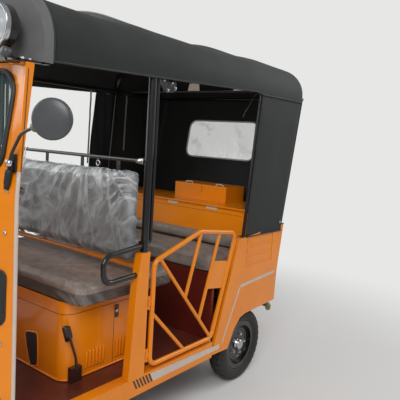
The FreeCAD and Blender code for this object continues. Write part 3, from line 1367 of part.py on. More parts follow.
def dash_shape():
    """A shallow tray behind the cowl with the instrument's housing, ahead of the steering stem."""
    low, high = size("cowl_waist") - 120, size("cowl_waist") - 20
    stem_low, stem_run = steering.multVec(Vector()), steering.Rotation.multVec(Vector(0, 0, 1))
    stem_y = stem_low.y + stem_run.y * (low - stem_low.z) / stem_run.z
    rear = stem_y - size("dash_room")
    slab = Part.makeBox(2 * COWL_HALF, 400, high - low, Vector(-COWL_HALF, rear - 400, low))
    inside = cowl_solid(size("sheet") + size("gap"), grow=50)
    return slab.common(inside)


keep(free("dash_form", dash_shape()), "dashboard")

# Check every piece, then write it

doc.recompute()
for item in doc.Objects:
    bad = {"Invalid", "Error"} & set(item.State)
    if bad:
        raise RuntimeError(f"{item.Name} ({item.Label}) is {bad}")
for item in PARTS:
    if item.Shape.isNull() or not item.Shape.isValid() or not item.Shape.Solids:
        raise RuntimeError(f"{item.Label} has no sound solid")
whole = FreeCAD.BoundBox()
for item in PARTS:
    whole.add(item.Shape.BoundBox)
    item.Shape.exportStep(f"parts/{item.Label}.step")
print(len(PARTS), "pieces,", f"box X {whole.XMin:.1f} {whole.XMax:.1f}",
      f"Y {whole.YMin:.1f} {whole.YMax:.1f} Z {whole.ZMin:.1f} {whole.ZMax:.1f}")
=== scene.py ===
"""The looks of an auto rickshaw: paint, cloth, film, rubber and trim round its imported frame."""
import json
import math

import bmesh
import bpy
from mathutils import Matrix, Vector, noise
from mathutils.bvhtree import BVHTree


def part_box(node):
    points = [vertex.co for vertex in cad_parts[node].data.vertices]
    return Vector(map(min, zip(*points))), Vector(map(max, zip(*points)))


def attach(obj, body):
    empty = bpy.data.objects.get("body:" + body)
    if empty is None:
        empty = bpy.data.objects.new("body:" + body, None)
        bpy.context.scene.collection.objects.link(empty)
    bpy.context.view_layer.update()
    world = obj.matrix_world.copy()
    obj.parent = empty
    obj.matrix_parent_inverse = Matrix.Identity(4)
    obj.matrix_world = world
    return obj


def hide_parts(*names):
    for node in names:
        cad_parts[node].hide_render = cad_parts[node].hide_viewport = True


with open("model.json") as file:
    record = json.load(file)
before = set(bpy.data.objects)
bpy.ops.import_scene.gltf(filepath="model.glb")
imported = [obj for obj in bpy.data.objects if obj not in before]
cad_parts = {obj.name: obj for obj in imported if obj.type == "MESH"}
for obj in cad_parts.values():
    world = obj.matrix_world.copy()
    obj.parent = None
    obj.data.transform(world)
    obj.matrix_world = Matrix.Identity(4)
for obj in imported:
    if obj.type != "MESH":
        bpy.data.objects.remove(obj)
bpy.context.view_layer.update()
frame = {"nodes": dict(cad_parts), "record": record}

# noise_vector draws its offsets from the clock unless it is seeded
noise.seed_set(7)

SIDES = ((1, "left"), (-1, "right"))


# Small tools for nodes and meshes


def paint(red, green, blue):
    """A colour from its written values of 0 to 255."""
    def channel(value):
        part = value / 255
        return part / 12.92 if part <= 0.04045 else ((part + 0.055) / 1.055) ** 2.4
    return (channel(red), channel(green), channel(blue), 1.0)


def feed(tree, socket, value):
    """Link an input or set it; a colour may be written as three values of 0 to 255."""
    if isinstance(value, bpy.types.NodeSocket):
        tree.links.new(value, socket)
    elif socket.type == "RGBA" and len(value) == 3:
        socket.default_value = paint(*value)
    else:
        socket.default_value = value


def give(tree, node, **values):
    """Feed a node's inputs by name, with _ for a space."""
    for key, value in values.items():
        feed(tree, node.inputs[key.replace("_", " ")], value)


def add(tree, kind, inputs=None, **settings):
    """One shader node with its settings and its inputs."""
    node = tree.nodes.new("ShaderNode" + kind)
    for key, value in settings.items():
        setattr(node, key, value)
    for key, value in (inputs or {}).items():
        feed(tree, node.inputs[key], value)
    return node


def sums(tree, operation, first, second=0.0, third=None):
    """A Math node's result."""
    inputs = {0: first, 1: second}
    if third is not None:
        inputs[2] = third
    return add(tree, "Math", inputs, operation=operation).outputs[0]


def blended(tree, share, first, second):
    """Two colours mixed by a share."""
    return add(tree, "Mix", {0: share, 6: first, 7: second}, data_type="RGBA").outputs[2]


def own_place(tree):
    """A surface's place in its object's coordinates."""
    return add(tree, "TexCoord").outputs["Object"]


def cloud_of(tree, place, scale, detail, roughness=0.5, out="Fac"):
    """Noise at a place."""
    return add(tree, "TexNoise", {"Vector": place, "Scale": scale, "Detail": detail,
        "Roughness": roughness}).outputs[out]


def ramp(tree, value, low=0.0, high=1.0, to_low=0.0, to_high=1.0, **settings):
    """A value spread from one range to another."""
    return add(tree, "MapRange", {"Value": value, "From Min": low, "From Max": high, "To Min": to_low,
        "To Max": to_high}, **settings).outputs[0]


def vector_of(tree, x, y, z):
    """A vector from its parts."""
    return add(tree, "CombineXYZ", {"X": x, "Y": y, "Z": z}).outputs[0]


def vectors(tree, operation, *inputs, out=0):
    """A Vector Math node's result."""
    return add(tree, "VectorMath", dict(enumerate(inputs)), operation=operation).outputs[out]


FLOAT, COLOUR = "NodeSocketFloat", "NodeSocketColor"


def effect(name, inputs, outputs):
    """An empty shader node group with its sockets: (tree, its inputs, its output node)."""
    tree = bpy.data.node_groups.new(name, "ShaderNodeTree")
    for label, value in inputs.items():
        kind = COLOUR if isinstance(value, tuple) else FLOAT
        tree.interface.new_socket(label, in_out="INPUT", socket_type=kind).default_value = value
    for label in outputs:
        kind = COLOUR if label == "Colour" else FLOAT
        tree.interface.new_socket(label, in_out="OUTPUT", socket_type=kind)
    source = tree.nodes.new("NodeGroupInput")
    return tree, source.outputs, tree.nodes.new("NodeGroupOutput")


def make_mottle():
    """Two colours in soft clouds, as on cloth, dusty paint and worn rubber."""
    tree, given, out = effect("mottle", {"Colour": (0.5, 0.5, 0.5, 1), "Other": (0.4, 0.4, 0.4, 1), "Scale": 4.0,
        "Amount": 0.5}, ["Colour", "Mask"])
    cloud = cloud_of(tree, own_place(tree), given["Scale"], 6.0, 0.62)
    share = sums(tree, "MULTIPLY", ramp(tree, cloud, 0.36, 0.64), given["Amount"])
    give(tree, out, Colour=blended(tree, share, given["Colour"], given["Other"]), Mask=share)
    return tree


def make_settled_dust():
    """Dust that lies on what faces up, thicker in places."""
    tree, given, out = effect("settled_dust", {"Colour": (0.5, 0.5, 0.5, 1), "Dust": (0.45, 0.42, 0.38, 1),
        "Amount": 0.3, "Scale": 9.0}, ["Colour", "Mask"])
    coords = add(tree, "TexCoord").outputs
    up = add(tree, "SeparateXYZ", {0: coords["Normal"]}).outputs["Z"]
    patch = ramp(tree, cloud_of(tree, coords["Object"], given["Scale"], 8.0, 0.7), 0.3, 0.75)
    lying = sums(tree, "MULTIPLY", ramp(tree, up, 0.15, 1.0), patch)
    film = sums(tree, "MULTIPLY", patch, 0.18)
    share = sums(tree, "MULTIPLY", sums(tree, "ADD", lying, film), given["Amount"])
    give(tree, out, Colour=blended(tree, share, given["Colour"], given["Dust"]), Mask=share)
    return tree


def make_grain():
    """Fine relief: orange peel in paint, pebble in vinyl, cast iron's skin."""
    tree, given, out = effect("grain", {"Scale": 300.0, "Depth": 1.0, "Coarse": 0.3}, ["Height"])
    place = own_place(tree)
    fine = cloud_of(tree, place, given["Scale"], 3.0)
    broad = cloud_of(tree, place, sums(tree, "MULTIPLY", given["Scale"], 0.12), 2.0)
    both = sums(tree, "ADD", fine, sums(tree, "MULTIPLY", broad, given["Coarse"]))
    give(tree, out, Height=sums(tree, "MULTIPLY", both, given["Depth"]))
    return tree


def make_weave():
    """Plain weave: threads over and under, with some thicker than others."""
    tree, given, out = effect("weave", {"Scale": 500.0, "Depth": 1.0}, ["Height", "Mask"])
    place = own_place(tree)
    threads = [add(tree, "TexWave", {"Vector": place, "Scale": given["Scale"], "Distortion": 0.6, "Detail": 1.0},
        bands_direction=direction).outputs["Fac"] for direction in "XYZ"]
    pair = sums(tree, "MULTIPLY", threads[1], threads[2])
    cloth = sums(tree, "ADD", pair, sums(tree, "MULTIPLY", threads[0], 0.5))
    slub = cloud_of(tree, place, 60.0, 3.0)
    give(tree, out, Height=sums(tree, "MULTIPLY", sums(tree, "ADD", cloth, slub), given["Depth"]), Mask=cloth)
    return tree


def make_crumple():
    """Creases of thin film or soft cloth: long ridges that bend, fan and break."""
    tree, given, out = effect("crumple", {"Scale": 8.0, "Depth": 1.0, "Stretch": 3.0}, ["Height", "Ridge"])
    drawn = vectors(tree, "MULTIPLY", own_place(tree), vector_of(tree, 1.0, 1.0, given["Stretch"]))
    wave = add(tree, "TexWave", {"Vector": drawn, "Scale": given["Scale"], "Distortion": 14.0, "Detail": 5.0,
        "Detail Scale": 0.55, "Detail Roughness": 0.62}, bands_direction="DIAGONAL").outputs["Fac"]
    here = ramp(tree, cloud_of(tree, drawn, 5.0, 3.0), 0.40, 0.66)
    sharp = sums(tree, "MULTIPLY", sums(tree, "POWER", wave, 5.0), here)
    both = sums(tree, "ADD", sharp, sums(tree, "MULTIPLY", wave, 0.35))
    give(tree, out, Height=sums(tree, "MULTIPLY", both, given["Depth"]), Ridge=sharp)
    return tree


def make_fan():
    """Creases that fan out from a point where film is pulled, and die away."""
    tree, given, out = effect("fan", {"X": 0.0, "Y": 0.0, "Z": 0.0, "Lines": 6.0, "Reach": 0.6}, ["Ridge"])
    place = own_place(tree)
    bend = cloud_of(tree, place, 3.5, 2.0, out="Color")
    bent = vectors(tree, "MULTIPLY_ADD", bend, (0.11, 0.11, 0.11), place)
    rel = vectors(tree, "SUBTRACT", bent, vector_of(tree, given["X"], given["Y"], given["Z"]))
    away = vectors(tree, "LENGTH", rel, out="Value")
    parts = add(tree, "SeparateXYZ", {0: rel}).outputs
    turn = sums(tree, "ARCTAN2", sums(tree, "ADD", parts["Y"], parts["Z"]), parts["X"])
    lines = vector_of(tree, sums(tree, "MULTIPLY", turn, given["Lines"]), sums(tree, "MULTIPLY", away, 3.0), 0.0)
    slope = sums(tree, "ABSOLUTE", sums(tree, "MULTIPLY_ADD", cloud_of(tree, lines, 1.0, 2.0, 0.55), 8.0, -4.0))
    fold = sums(tree, "POWER", sums(tree, "MAXIMUM", sums(tree, "SUBTRACT", 1.0, slope), 0.0), 1.6)
    give(tree, out, Ridge=sums(tree, "MULTIPLY", fold, ramp(tree, away, 0.03, given["Reach"], 1.0, 0.0)))
    return tree


FAN = make_fan()
MOTTLE = make_mottle()
DUST = make_settled_dust()
GRAIN = make_grain()
WEAVE = make_weave()
CRUMPLE = make_crumple()


def place_effect(tree, group, **inputs):
    """A shared effect in a material, with its own values."""
    node = tree.nodes.new("ShaderNodeGroup")
    node.node_tree = group
    give(tree, node, **inputs)
    return node.outputs


def finish_of(name, **constants):
    """A new material: (material, its tree, its Principled shader)."""
    material = bpy.data.materials.new(name)
    material.use_nodes = True
    tree = material.node_tree
    shader = tree.nodes["Principled BSDF"]
    give(tree, shader, **constants)
    return material, tree, shader


def clouded(tree, shader, colour, other, scale, amount, dust=None, rough=None):
    """Base colour in clouds, with dust as (colour, amount, scale) and roughness as (clean, dirty)."""
    tint = place_effect(tree, MOTTLE, Colour=colour, Other=other, Scale=scale, Amount=amount)
    if dust:
        tint = place_effect(tree, DUST, Colour=tint["Colour"], Dust=dust[0], Amount=dust[1], Scale=dust[2])
    give(tree, shader, Base_Color=tint["Colour"])
    if rough:
        give(tree, shader, Roughness=ramp(tree, tint["Mask"], to_low=rough[0], to_high=rough[1]))


def bumped(tree, shader, strength, distance, *heights):
    """Relief on a shader from one height or the sum of two."""
    height = sums(tree, "ADD", *heights) if len(heights) == 2 else heights[0]
    bump = add(tree, "Bump", {"Height": height, "Strength": strength, "Distance": distance})
    give(tree, shader, Normal=bump.outputs[0])


def grain_of(tree, scale, depth, coarse):
    """The height of a material's grain."""
    return place_effect(tree, GRAIN, Scale=scale, Depth=depth, Coarse=coarse)["Height"]


def gloss_paint(name, colour, other, coat=0.7, rough=0.3, dust=0.25):
    """Sprayed enamel: clouded tint, orange peel and a little settled dust."""
    material, tree, shader = finish_of(name, Coat_Weight=coat, Coat_Roughness=0.08, Specular_IOR_Level=0.35)
    clouded(tree, shader, colour, other, 3.0, 0.6, ((140, 112, 84), dust, 11.0), (rough, rough + 0.35))
    bumped(tree, shader, 0.08, 0.002, grain_of(tree, 260.0, 1.0, 2.5))
    return material


def plain_metal(name, colour, other, rough=0.35, metallic=1.0, grain=0.1):
    """Bare or plated steel with smears in its shine."""
    material, tree, shader = finish_of(name, Metallic=metallic)
    clouded(tree, shader, colour, other, 24.0, 0.7, rough=(rough, rough + 0.2))
    bumped(tree, shader, grain, 0.001, grain_of(tree, 400.0, 1.0, 1.0))
    return material


def moulded(name, colour, other, rough=0.45, grain=0.15, scale=500.0, dust=0.3):
    """Moulded plastic or rubber with a fine pebble."""
    material, tree, shader = finish_of(name)
    clouded(tree, shader, colour, other, 14.0, 0.6, ((120, 112, 100), dust, 16.0), (rough, min(0.95, rough + 0.4)))
    bumped(tree, shader, grain, 0.001, grain_of(tree, scale, 1.0, 0.6))
    return material


def coated_cloth(name, colour, other, rough=0.66, crumple_depth=0.5):
    """Rubberised hood cloth: weave, soft creases and grey bloom."""
    material, tree, shader = finish_of(name, Sheen_Weight=0.06, Sheen_Roughness=0.5, Specular_IOR_Level=0.3)
    clouded(tree, shader, colour, other, 2.6, 0.8, ((120, 120, 116), 0.12, 7.0), (rough, rough + 0.18))
    weave = place_effect(tree, WEAVE, Scale=260.0, Depth=0.25)["Height"]
    creases = place_effect(tree, CRUMPLE, Scale=3.5, Depth=crumple_depth, Stretch=0.6)["Height"]
    bumped(tree, shader, 0.35, 0.003, weave, creases)
    return material


def stretched_film(name, scale, stretch, alpha, tint, ridge_highlight=0.35, bump=0.9, pulls=()):
    """Clear film that clings in creases, with a painted white highlight along its fold ridges and along the creases
    fanned out from where it is pulled.
    """
    material, tree, shader = finish_of(name, Roughness=0.10, IOR=1.45, Specular_IOR_Level=0.9)
    creases = place_effect(tree, CRUMPLE, Scale=scale, Depth=1.0, Stretch=stretch)
    fine = place_effect(tree, CRUMPLE, Scale=scale * 2.3, Depth=0.5, Stretch=stretch * 0.6)
    height = sums(tree, "ADD", creases["Height"], fine["Height"])
    ridge = sums(tree, "MULTIPLY", creases["Ridge"], ridge_highlight)
    # Each pull is its place, how many lines it throws and how far they reach.
    for x, y, z, lines, reach in pulls:
        fan = place_effect(tree, FAN, X=x, Y=y, Z=z, Lines=lines, Reach=reach)["Ridge"]
        height = sums(tree, "ADD", height, fan)
        ridge = sums(tree, "MAXIMUM", ridge, sums(tree, "MULTIPLY", fan, min(1.0, ridge_highlight * 1.6)))
    # Painted highlight: the ridges are blended toward white and made less clear, standing in for light caught on the
    # folds.
    give(tree, shader, Base_Color=blended(tree, ridge, tint, (238, 240, 242)),
        Alpha=ramp(tree, ridge, to_low=alpha, to_high=min(1.0, alpha + 0.75)))
    bumped(tree, shader, bump, 0.008, height)
    return material


def cushion_relief(tree, shader, strength, grain, creases):
    """A pebbled grain and soft creases."""
    folds = place_effect(tree, CRUMPLE, Scale=6.0, Depth=creases[0], Stretch=creases[1])["Height"]
    bumped(tree, shader, strength, 0.003, grain_of(tree, *grain), folds)


def edged_vinyl(name, colour, edge, limits):
    """Cushion cover with a darker border where its own coordinates pass the limits."""
    material, tree, shader = finish_of(name, Roughness=0.5)
    parts = add(tree, "SeparateXYZ", {0: own_place(tree)}).outputs
    mask = 0.0
    # Each limit is an axis, a comparison and the value it is held against.
    for axis, operation, value in limits:
        mask = sums(tree, "MAXIMUM", sums(tree, operation, parts[axis], value), mask)
    clouded(tree, shader, blended(tree, mask, colour[0], edge[0]), blended(tree, mask, colour[1], edge[1]), 18.0, 0.9)
    cushion_relief(tree, shader, 0.25, (300.0, 0.5, 1.5), (0.5, 1.0))
    return material


def soft_vinyl(name, colour, other):
    """Seat cover with a pebbled grain and soft creases."""
    material, tree, shader = finish_of(name, Sheen_Weight=0.15)
    clouded(tree, shader, colour, other, 9.0, 0.9, rough=(0.5, 0.7))
    cushion_relief(tree, shader, 0.3, (420.0, 0.8, 0.8), (0.6, 1.5))
    return material


def clear_glass(name, colour, alpha):
    """Thin glazing: tinted, glossy and partly see-through."""
    material, tree, shader = finish_of(name, Base_Color=colour, Roughness=0.04, Specular_IOR_Level=0.7)
    smear = place_effect(tree, MOTTLE, Colour=colour, Other=(210, 216, 214), Scale=5.0, Amount=0.5)
    give(tree, shader, Alpha=ramp(tree, smear["Mask"], to_low=alpha, to_high=alpha + 0.08))
    return material


def lens(name, colour, other):
    """A ribbed plastic lens."""
    material, tree, shader = finish_of(name, Roughness=0.15, Coat_Weight=0.5, Transmission_Weight=0.15)
    clouded(tree, shader, colour, other, 30.0, 0.5)
    ribs = add(tree, "TexWave", {"Vector": own_place(tree), "Scale": 60.0}, bands_direction="Z")
    bumped(tree, shader, 0.4, 0.002, ribs.outputs["Fac"])
    return material


def two_tone(name, split_z, below, above):
    """One enamel below a height and another over it."""
    material, tree, shader = finish_of(name, Coat_Weight=0.5, Coat_Roughness=0.1, Roughness=0.34)
    height = add(tree, "SeparateXYZ", {0: own_place(tree)}).outputs["Z"]
    over = sums(tree, "GREATER_THAN", height, split_z)
    clouded(tree, shader, blended(tree, over, below[0], above[0]), blended(tree, over, below[1], above[1]), 5.0, 0.6)
    bumped(tree, shader, 0.08, 0.002, grain_of(tree, 260.0, 1.0, 2.0))
    return material


FINISH = {
    "orange_paint": gloss_paint("orange_enamel", (236, 136, 4), (222, 122, 2), coat=0.35, dust=0.05),
    "black_steel": gloss_paint("black_enamel", (13, 13, 14), (21, 20, 20), coat=0.5, rough=0.3, dust=0.06),
    "chassis_paint": gloss_paint("oxide_primer", (66, 28, 20), (48, 22, 18), coat=0.1, rough=0.55,
                                 dust=0.6),
    "floor_paint": gloss_paint("maroon_enamel", (90, 24, 15), (70, 19, 12), coat=0.2, rough=0.45,
                               dust=0.14),
    "olive_steel": gloss_paint("olive_enamel", (126, 122, 62), (108, 104, 56), coat=0.3, rough=0.45),
    "tyre_rubber": moulded("tyre_rubber", (30, 27, 25), (42, 38, 35), rough=0.62, grain=0.25, dust=0.15),
    "spring_steel": plain_metal("spring_leaf", (60, 58, 56), (88, 74, 62), rough=0.5, metallic=0.8),
    "axle_iron": plain_metal("axle_casting", (40, 40, 42), (58, 54, 50), rough=0.6, metallic=0.6,
                             grain=0.4),
    "bright_steel": plain_metal("plated_steel", (205, 205, 205), (170, 172, 175), rough=0.16),
    "hood_fabric": coated_cloth("hood_cloth", (21, 25, 23), (29, 32, 30)),
    "visor_cover": moulded("visor_moulding", (92, 92, 92), (104, 104, 103), rough=0.42, scale=300.0,
                           dust=0.15),
    "curtain_fabric": coated_cloth("curtain_cloth", (26, 26, 27), (36, 36, 37), rough=0.8),
    "window_film": stretched_film("window_film", 2.2, 1.2, 0.26, (222, 230, 226), ridge_highlight=0.25, bump=0.5),
    "screen_glass": clear_glass("screen_glass", (60, 84, 80), 0.30),
    "seat_vinyl": soft_vinyl("seat_cover", (138, 124, 114), (104, 92, 84)),
    "backrest_vinyl": soft_vinyl("backrest_cover", (104, 106, 106), (86, 88, 90)),
    "lamp_body": moulded("lamp_housing", (18, 18, 20), (28, 28, 30), rough=0.22, grain=0.05),
    "lamp_red": lens("red_lens", (168, 22, 18), (130, 14, 12)),
    "mirror_back": moulded("mirror_shell", (66, 68, 69), (78, 80, 81), rough=0.36, grain=0.1, dust=0.1),
    "dash_plastic": moulded("dash_moulding", (30, 30, 31), (42, 42, 42), rough=0.6, grain=0.4),
    "battery_case": moulded("battery_case", (40, 42, 50), (52, 54, 60)),
    "control_steel": gloss_paint("lever_enamel", (36, 18, 16), (60, 24, 18), coat=0.4, rough=0.3),
}
RUBBER_TRIM = moulded("rubber_trim", (20, 20, 21), (32, 32, 32), rough=0.5, grain=0.1)
# Pale lines: real stripes and brackets, and painted highlights on the cowl's side corners, the parcel box front and
# the chest lid's grips.
PALE_TRIM_AND_HIGHLIGHT = gloss_paint("pale_trim_and_highlight", (206, 192, 178), (188, 172, 160), coat=0.3, rough=0.35)
# Dark lines: real seams, joints and print, and painted shade in the cowl's side grooves, the louvre slits and the
# seat box's slot.
DARK_LINE = gloss_paint("dark_line", (40, 38, 38), (56, 52, 50), coat=0.3, rough=0.4)
WELT = coated_cloth("hood_binding", (40, 43, 42), (54, 57, 55), rough=0.65, crumple_depth=0.2)
PALE_WELT = coated_cloth("window_binding", (196, 200, 196), (170, 176, 172), rough=0.6, crumple_depth=0.2)
STRAP = coated_cloth("pale_strap", (150, 148, 142), (124, 122, 118), rough=0.75, crumple_depth=0.3)
SEAT_FILM = stretched_film("seat_film", 1.6, 0.8, 0.12, (150, 140, 130), ridge_highlight=0.28,
    pulls=[(-0.80, -0.55, 0.83, 4.0, 1.1), (0.76, -0.60, 0.83, 4.0, 0.8), (-1.00, 0.55, 0.85, 9.0, 1.5),
    (1.00, 0.66, 0.85, 9.0, 1.2)])
BACKREST_FILM = stretched_film("backrest_film", 1.3, 0.55, 0.40, (146, 151, 152), ridge_highlight=0.6,
    pulls=[(-0.82, -0.18, 1.26, 4.5, 1.3), (0.30, -0.18, 1.66, 4.0, 0.85), (0.16, -0.18, 0.66, 3.5, 0.62),
    (0.74, -0.18, 1.46, 4.0, 0.6)])
MIRROR_GLASS = plain_metal("mirror_glass", (225, 228, 230), (215, 218, 220), rough=0.04, grain=0.0)
LAMP_LENS = clear_glass("lamp_lens", (206, 212, 214), 0.55)

# The lower seat bar is orange, and what hangs the backrest over it is black. The bench front is maroon.
NODE_FINISH = {"backrest_bars": two_tone("seat_bars", 0.905, ((232, 138, 6), (218, 122, 3)),
    ((24, 24, 26), (36, 35, 35))), "bench_box": FINISH["floor_paint"],}
for part in frame["record"]["subparts"]:
    node = frame["nodes"][part["node"]]
    node.data.materials.clear()
    node.data.materials.append(NODE_FINISH.get(part["node"], FINISH[part["material_slot"]]))


def linked(name, mesh):
    """An object in the scene's collection."""
    item = bpy.data.objects.new(name, mesh)
    bpy.context.scene.collection.objects.link(item)
    return item


def dressed(item, body="root", smooth=True):
    """Shade a piece, and give it its body."""
    for face in item.data.polygons:
        face.use_smooth = smooth
    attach(item, body)
    return item


def piece(name, verts, faces, slot, material=None, body="root", smooth=True):
    """A new mesh piece that rides on a body, in its slot's own finish or another."""
    mesh = bpy.data.meshes.new(name)
    mesh.from_pydata([tuple(v) for v in verts], [], faces)
    mesh.update()
    mesh.materials.append(material or FINISH[slot])
    return dressed(linked(name, mesh), body, smooth)


def grid_faces(rows, columns, wrap_rows=False, wrap_columns=False):
    """Quads over a grid of points that runs row by row."""
    faces = []
    for row in range(rows if wrap_rows else rows - 1):
        for column in range(columns if wrap_columns else columns - 1):
            after_row, after_column = (row + 1) % rows, (column + 1) % columns
            faces.append((row * columns + column, row * columns + after_column, after_row * columns + after_column,
                after_row * columns + column))
    return faces


def finish_sheet(item, inside, thickness):
    """Weld a sheet, turn it away from a point inside, and give it a finer mesh and its thickness."""
    tidied(item, inside)
    smooth = item.modifiers.new("smooth", "SUBSURF")
    smooth.levels = smooth.render_levels = 1
    solid = item.modifiers.new("thickness", "SOLIDIFY")
    solid.thickness, solid.offset = thickness, -1.0


def hose(name, points, radius, slot, material=None, body="root", sides=10, closed=False, smooth_passes=0):
    """A round tube that follows points, as a mesh."""
    path = [Vector(p) for p in points]
    for _ in range(smooth_passes):
        finer = [path[0]] if not closed else []
        pairs = list(zip(path, path[1:] + path[:1])) if closed else list(zip(path, path[1:]))
        for a, b in pairs:
            finer += [a * 0.75 + b * 0.25, a * 0.25 + b * 0.75]
        path = finer if closed else finer + [path[-1]]
    count = len(path)
    verts = []
    across = None
    for index, at in enumerate(path):
        before = path[index - 1] if closed or index else at
        after = path[(index + 1) % count] if closed or index < count - 1 else at
        along = (after - before).normalized()
        if across is None:
            across = along.orthogonal().normalized()
        across = (across - along * across.dot(along)).normalized()
        up = along.cross(across)
        for side in range(sides):
            turn = 2 * math.pi * side / sides
            verts.append(at + (across * math.cos(turn) + up * math.sin(turn)) * radius)
    faces = grid_faces(count, sides, closed, True)
    if not closed:
        faces.append(tuple(range(sides - 1, -1, -1)))
        faces.append(tuple(range((count - 1) * sides, count * sides)))
    return piece(name, verts, faces, slot, material, body)


def tidied(item, outside):
    """Weld a mesh's double points and turn its faces away from a point inside."""
    mesh = bmesh.new()
    mesh.from_mesh(item.data)
    bmesh.ops.remove_doubles(mesh, verts=mesh.verts, dist=0.00005)
    bmesh.ops.recalc_face_normals(mesh, faces=mesh.faces)
    score = sum(face.normal.dot(face.calc_center_median() - Vector(outside)) for face in mesh.faces)
    if score < 0:
        bmesh.ops.reverse_faces(mesh, faces=mesh.faces)
    mesh.to_mesh(item.data)
    mesh.free()
    for face in item.data.polygons:
        face.use_smooth = True
    return item


def turned(name, section, places, slot, material=None, body="root", sides=32, smooth=True, caps=True):
    """A section of (along, radius) turned about an axis at each place, (point, axis), open inside without caps."""
    verts, faces = [], []
    for point, axis in places:
        axis = Vector(axis).normalized()
        across = axis.orthogonal().normalized()
        up = axis.cross(across)
        first = len(verts)
        for along, radius in section:
            for side in range(sides):
                turn = 2 * math.pi * side / sides
                verts.append(Vector(point) + axis * along + (across * math.cos(turn) + up * math.sin(turn))
                    * max(radius, 0.00001))
        for face in grid_faces(len(section), sides, False, True):
            faces.append(tuple(first + index for index in face))
        if not caps:
            continue
        faces.append(tuple(first + side for side in range(sides - 1, -1, -1)))
        last = first + (len(section) - 1) * sides
        faces.append(tuple(last + side for side in range(sides)))
    return piece(name, verts, faces, slot, material, body, smooth)


def strap(name, points, across, out, wide, thick, slot, material=None):
    """A flat strip of some thickness along points: across is the way of its width, out the way it faces."""
    verts = []
    for index, point in enumerate(points):
        side = Vector(across[index] if isinstance(across, list) else across).normalized() * wide / 2
        face = Vector(out[index] if isinstance(out, list) else out).normalized() * thick
        at = Vector(point)
        verts += [at - side, at + side, at + side + face, at - side + face]
    faces = grid_faces(len(points), 4, False, True)
    last = 4 * (len(points) - 1)
    faces += [(3, 2, 1, 0), (last, last + 1, last + 2, last + 3)]
    return piece(name, verts, faces, slot, material, smooth=False)


def plate_of(name, outlines, axis, place, thick, slot, material=None):
    """Thin plates from outlines of two coordinates, flat against a face across X, Y or Z."""
    verts, faces = [], []
    for outline in outlines:
        first, count = len(verts), len(outline)
        for level in (place, place + thick):
            for point in outline:
                corner = list(point)
                corner.insert(axis, level)
                verts.append(corner)
        faces.append(tuple(first + n for n in range(count)))
        faces.append(tuple(first + count + n for n in range(count - 1, -1, -1)))
        for n in range(count):
            after = (n + 1) % count
            faces.append((first + n, first + count + n, first + count + after, first + after))
    return piece(name, verts, faces, slot, material, smooth=False)


def oblong(left, low, right, high):
    """A rectangle's outline."""
    return [(left, low), (right, low), (right, high), (left, high)]


def hex_head(washer, head, side, end, tip):
    """The section of a washer and a hexagon head: their radii, then where the sides end, the end and its radius."""
    return [(0, washer), (0.002, washer), (0.0025, head), (side, head), (end, tip)]


# Hood: a top cover tied over the bows, and a skirt that hangs under it with the rear window

HOOD_LOW, HOOD_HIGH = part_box("hood")
HOOD_HALF, HOOD_FRONT, HOOD_FOOT = HOOD_HIGH.x, HOOD_LOW.y, HOOD_LOW.z
EAVE_Z, RIDGE_Z, CROWN_RADIUS = 1.945, 2.160, 1.000
EAVE_RADIUS, REAR_RADIUS, PLAN_CORNER = 0.200, 0.170, 0.075
REAR_FOOT, SIDE_FOOT, SIDE_LEAN, SEAM_Z = 1.216, 0.738, 0.075, 1.790
ROOF_SLOPE = (RIDGE_Z - EAVE_Z) / HOOD_HALF
CROWN_HALF = CROWN_RADIUS * math.sin(math.atan(ROOF_SLOPE))
LEAN_SLOPE = 0.170 / (EAVE_Z - HOOD_FOOT)
CLOTH, FILM_RINGS = 0.0025, 12
SPINE_END = 0.80
VALANCE_START, VALANCE_END, VALANCE_RUN, VALANCE_Z, VALANCE_RISE = -0.706, 0.791, 1.497, 1.735, 0.055
WINDOW_HALF, WINDOW_LOW, WINDOW_HIGH, WINDOW_CORNER = 0.312, 1.365, 1.640, 0.060
WINDOW_MIDDLE = (WINDOW_LOW + WINDOW_HIGH) / 2
# Each row is a bow's middle along Y and how far the cloth sags behind it; the first tie is in the visor.
BOWS = [(-0.740, 0.064), (-0.109, 0.038), (0.793, 0.018), (1.176, 0.0)]
BACK_X = [0.52, 0.44] + [0.36 - 0.03 * n for n in range(25)] + [-0.44, -0.52]
SIDE_COLUMNS, CORNER_COLUMNS, SKIRT_SIDE_COLUMNS, WINDOW_COLUMNS = 48, 6, 14, 25
# Rows of the skirt: those below the window, those beside it and those over it.
BAND_LOW, BAND_TALL, ROWS_OVER = 1.317, 0.371, [1.726, 1.765, 1.802]


def rear_face(z):
    """Where the hood's leaning rear face is at a height."""
    return REAR_FOOT + LEAN_SLOPE * (z - HOOD_FOOT)


def valance_edge(y):
    """Height of the valance's lower edge."""
    return VALANCE_Z + VALANCE_RISE * (min(y, VALANCE_END) - VALANCE_START) / VALANCE_RUN


def roof_height(x):
    """Height of the roof before it turns down at the eaves."""
    if abs(x) >= CROWN_HALF:
        return RIDGE_Z - ROOF_SLOPE * abs(x)
    flat = CROWN_RADIUS * math.cos(math.atan(ROOF_SLOPE))
    return RIDGE_Z - ROOF_SLOPE * CROWN_HALF + math.sqrt(CROWN_RADIUS ** 2 - x * x) - flat


def hood_rim(z, front_y, inset, side_columns):
    """Points round the hood at a height: left side, rear, right side. Each is (x, y, share of the lean)."""
    half, rear, radius = HOOD_HALF - inset, rear_face(z) - inset, PLAN_CORNER - inset
    start = rear - radius
    left = [(half, front_y + (start - front_y) * n / side_columns, n / side_columns) for n in range(side_columns)]
    for n in range(CORNER_COLUMNS + 1):
        turn = math.pi / 2 * n / CORNER_COLUMNS
        left.append((half - radius + radius * math.cos(turn), start + radius * math.sin(turn), 1.0))
    return left + [(x, rear, 1.0) for x in BACK_X] + [(-x, y, share) for x, y, share in reversed(left)]


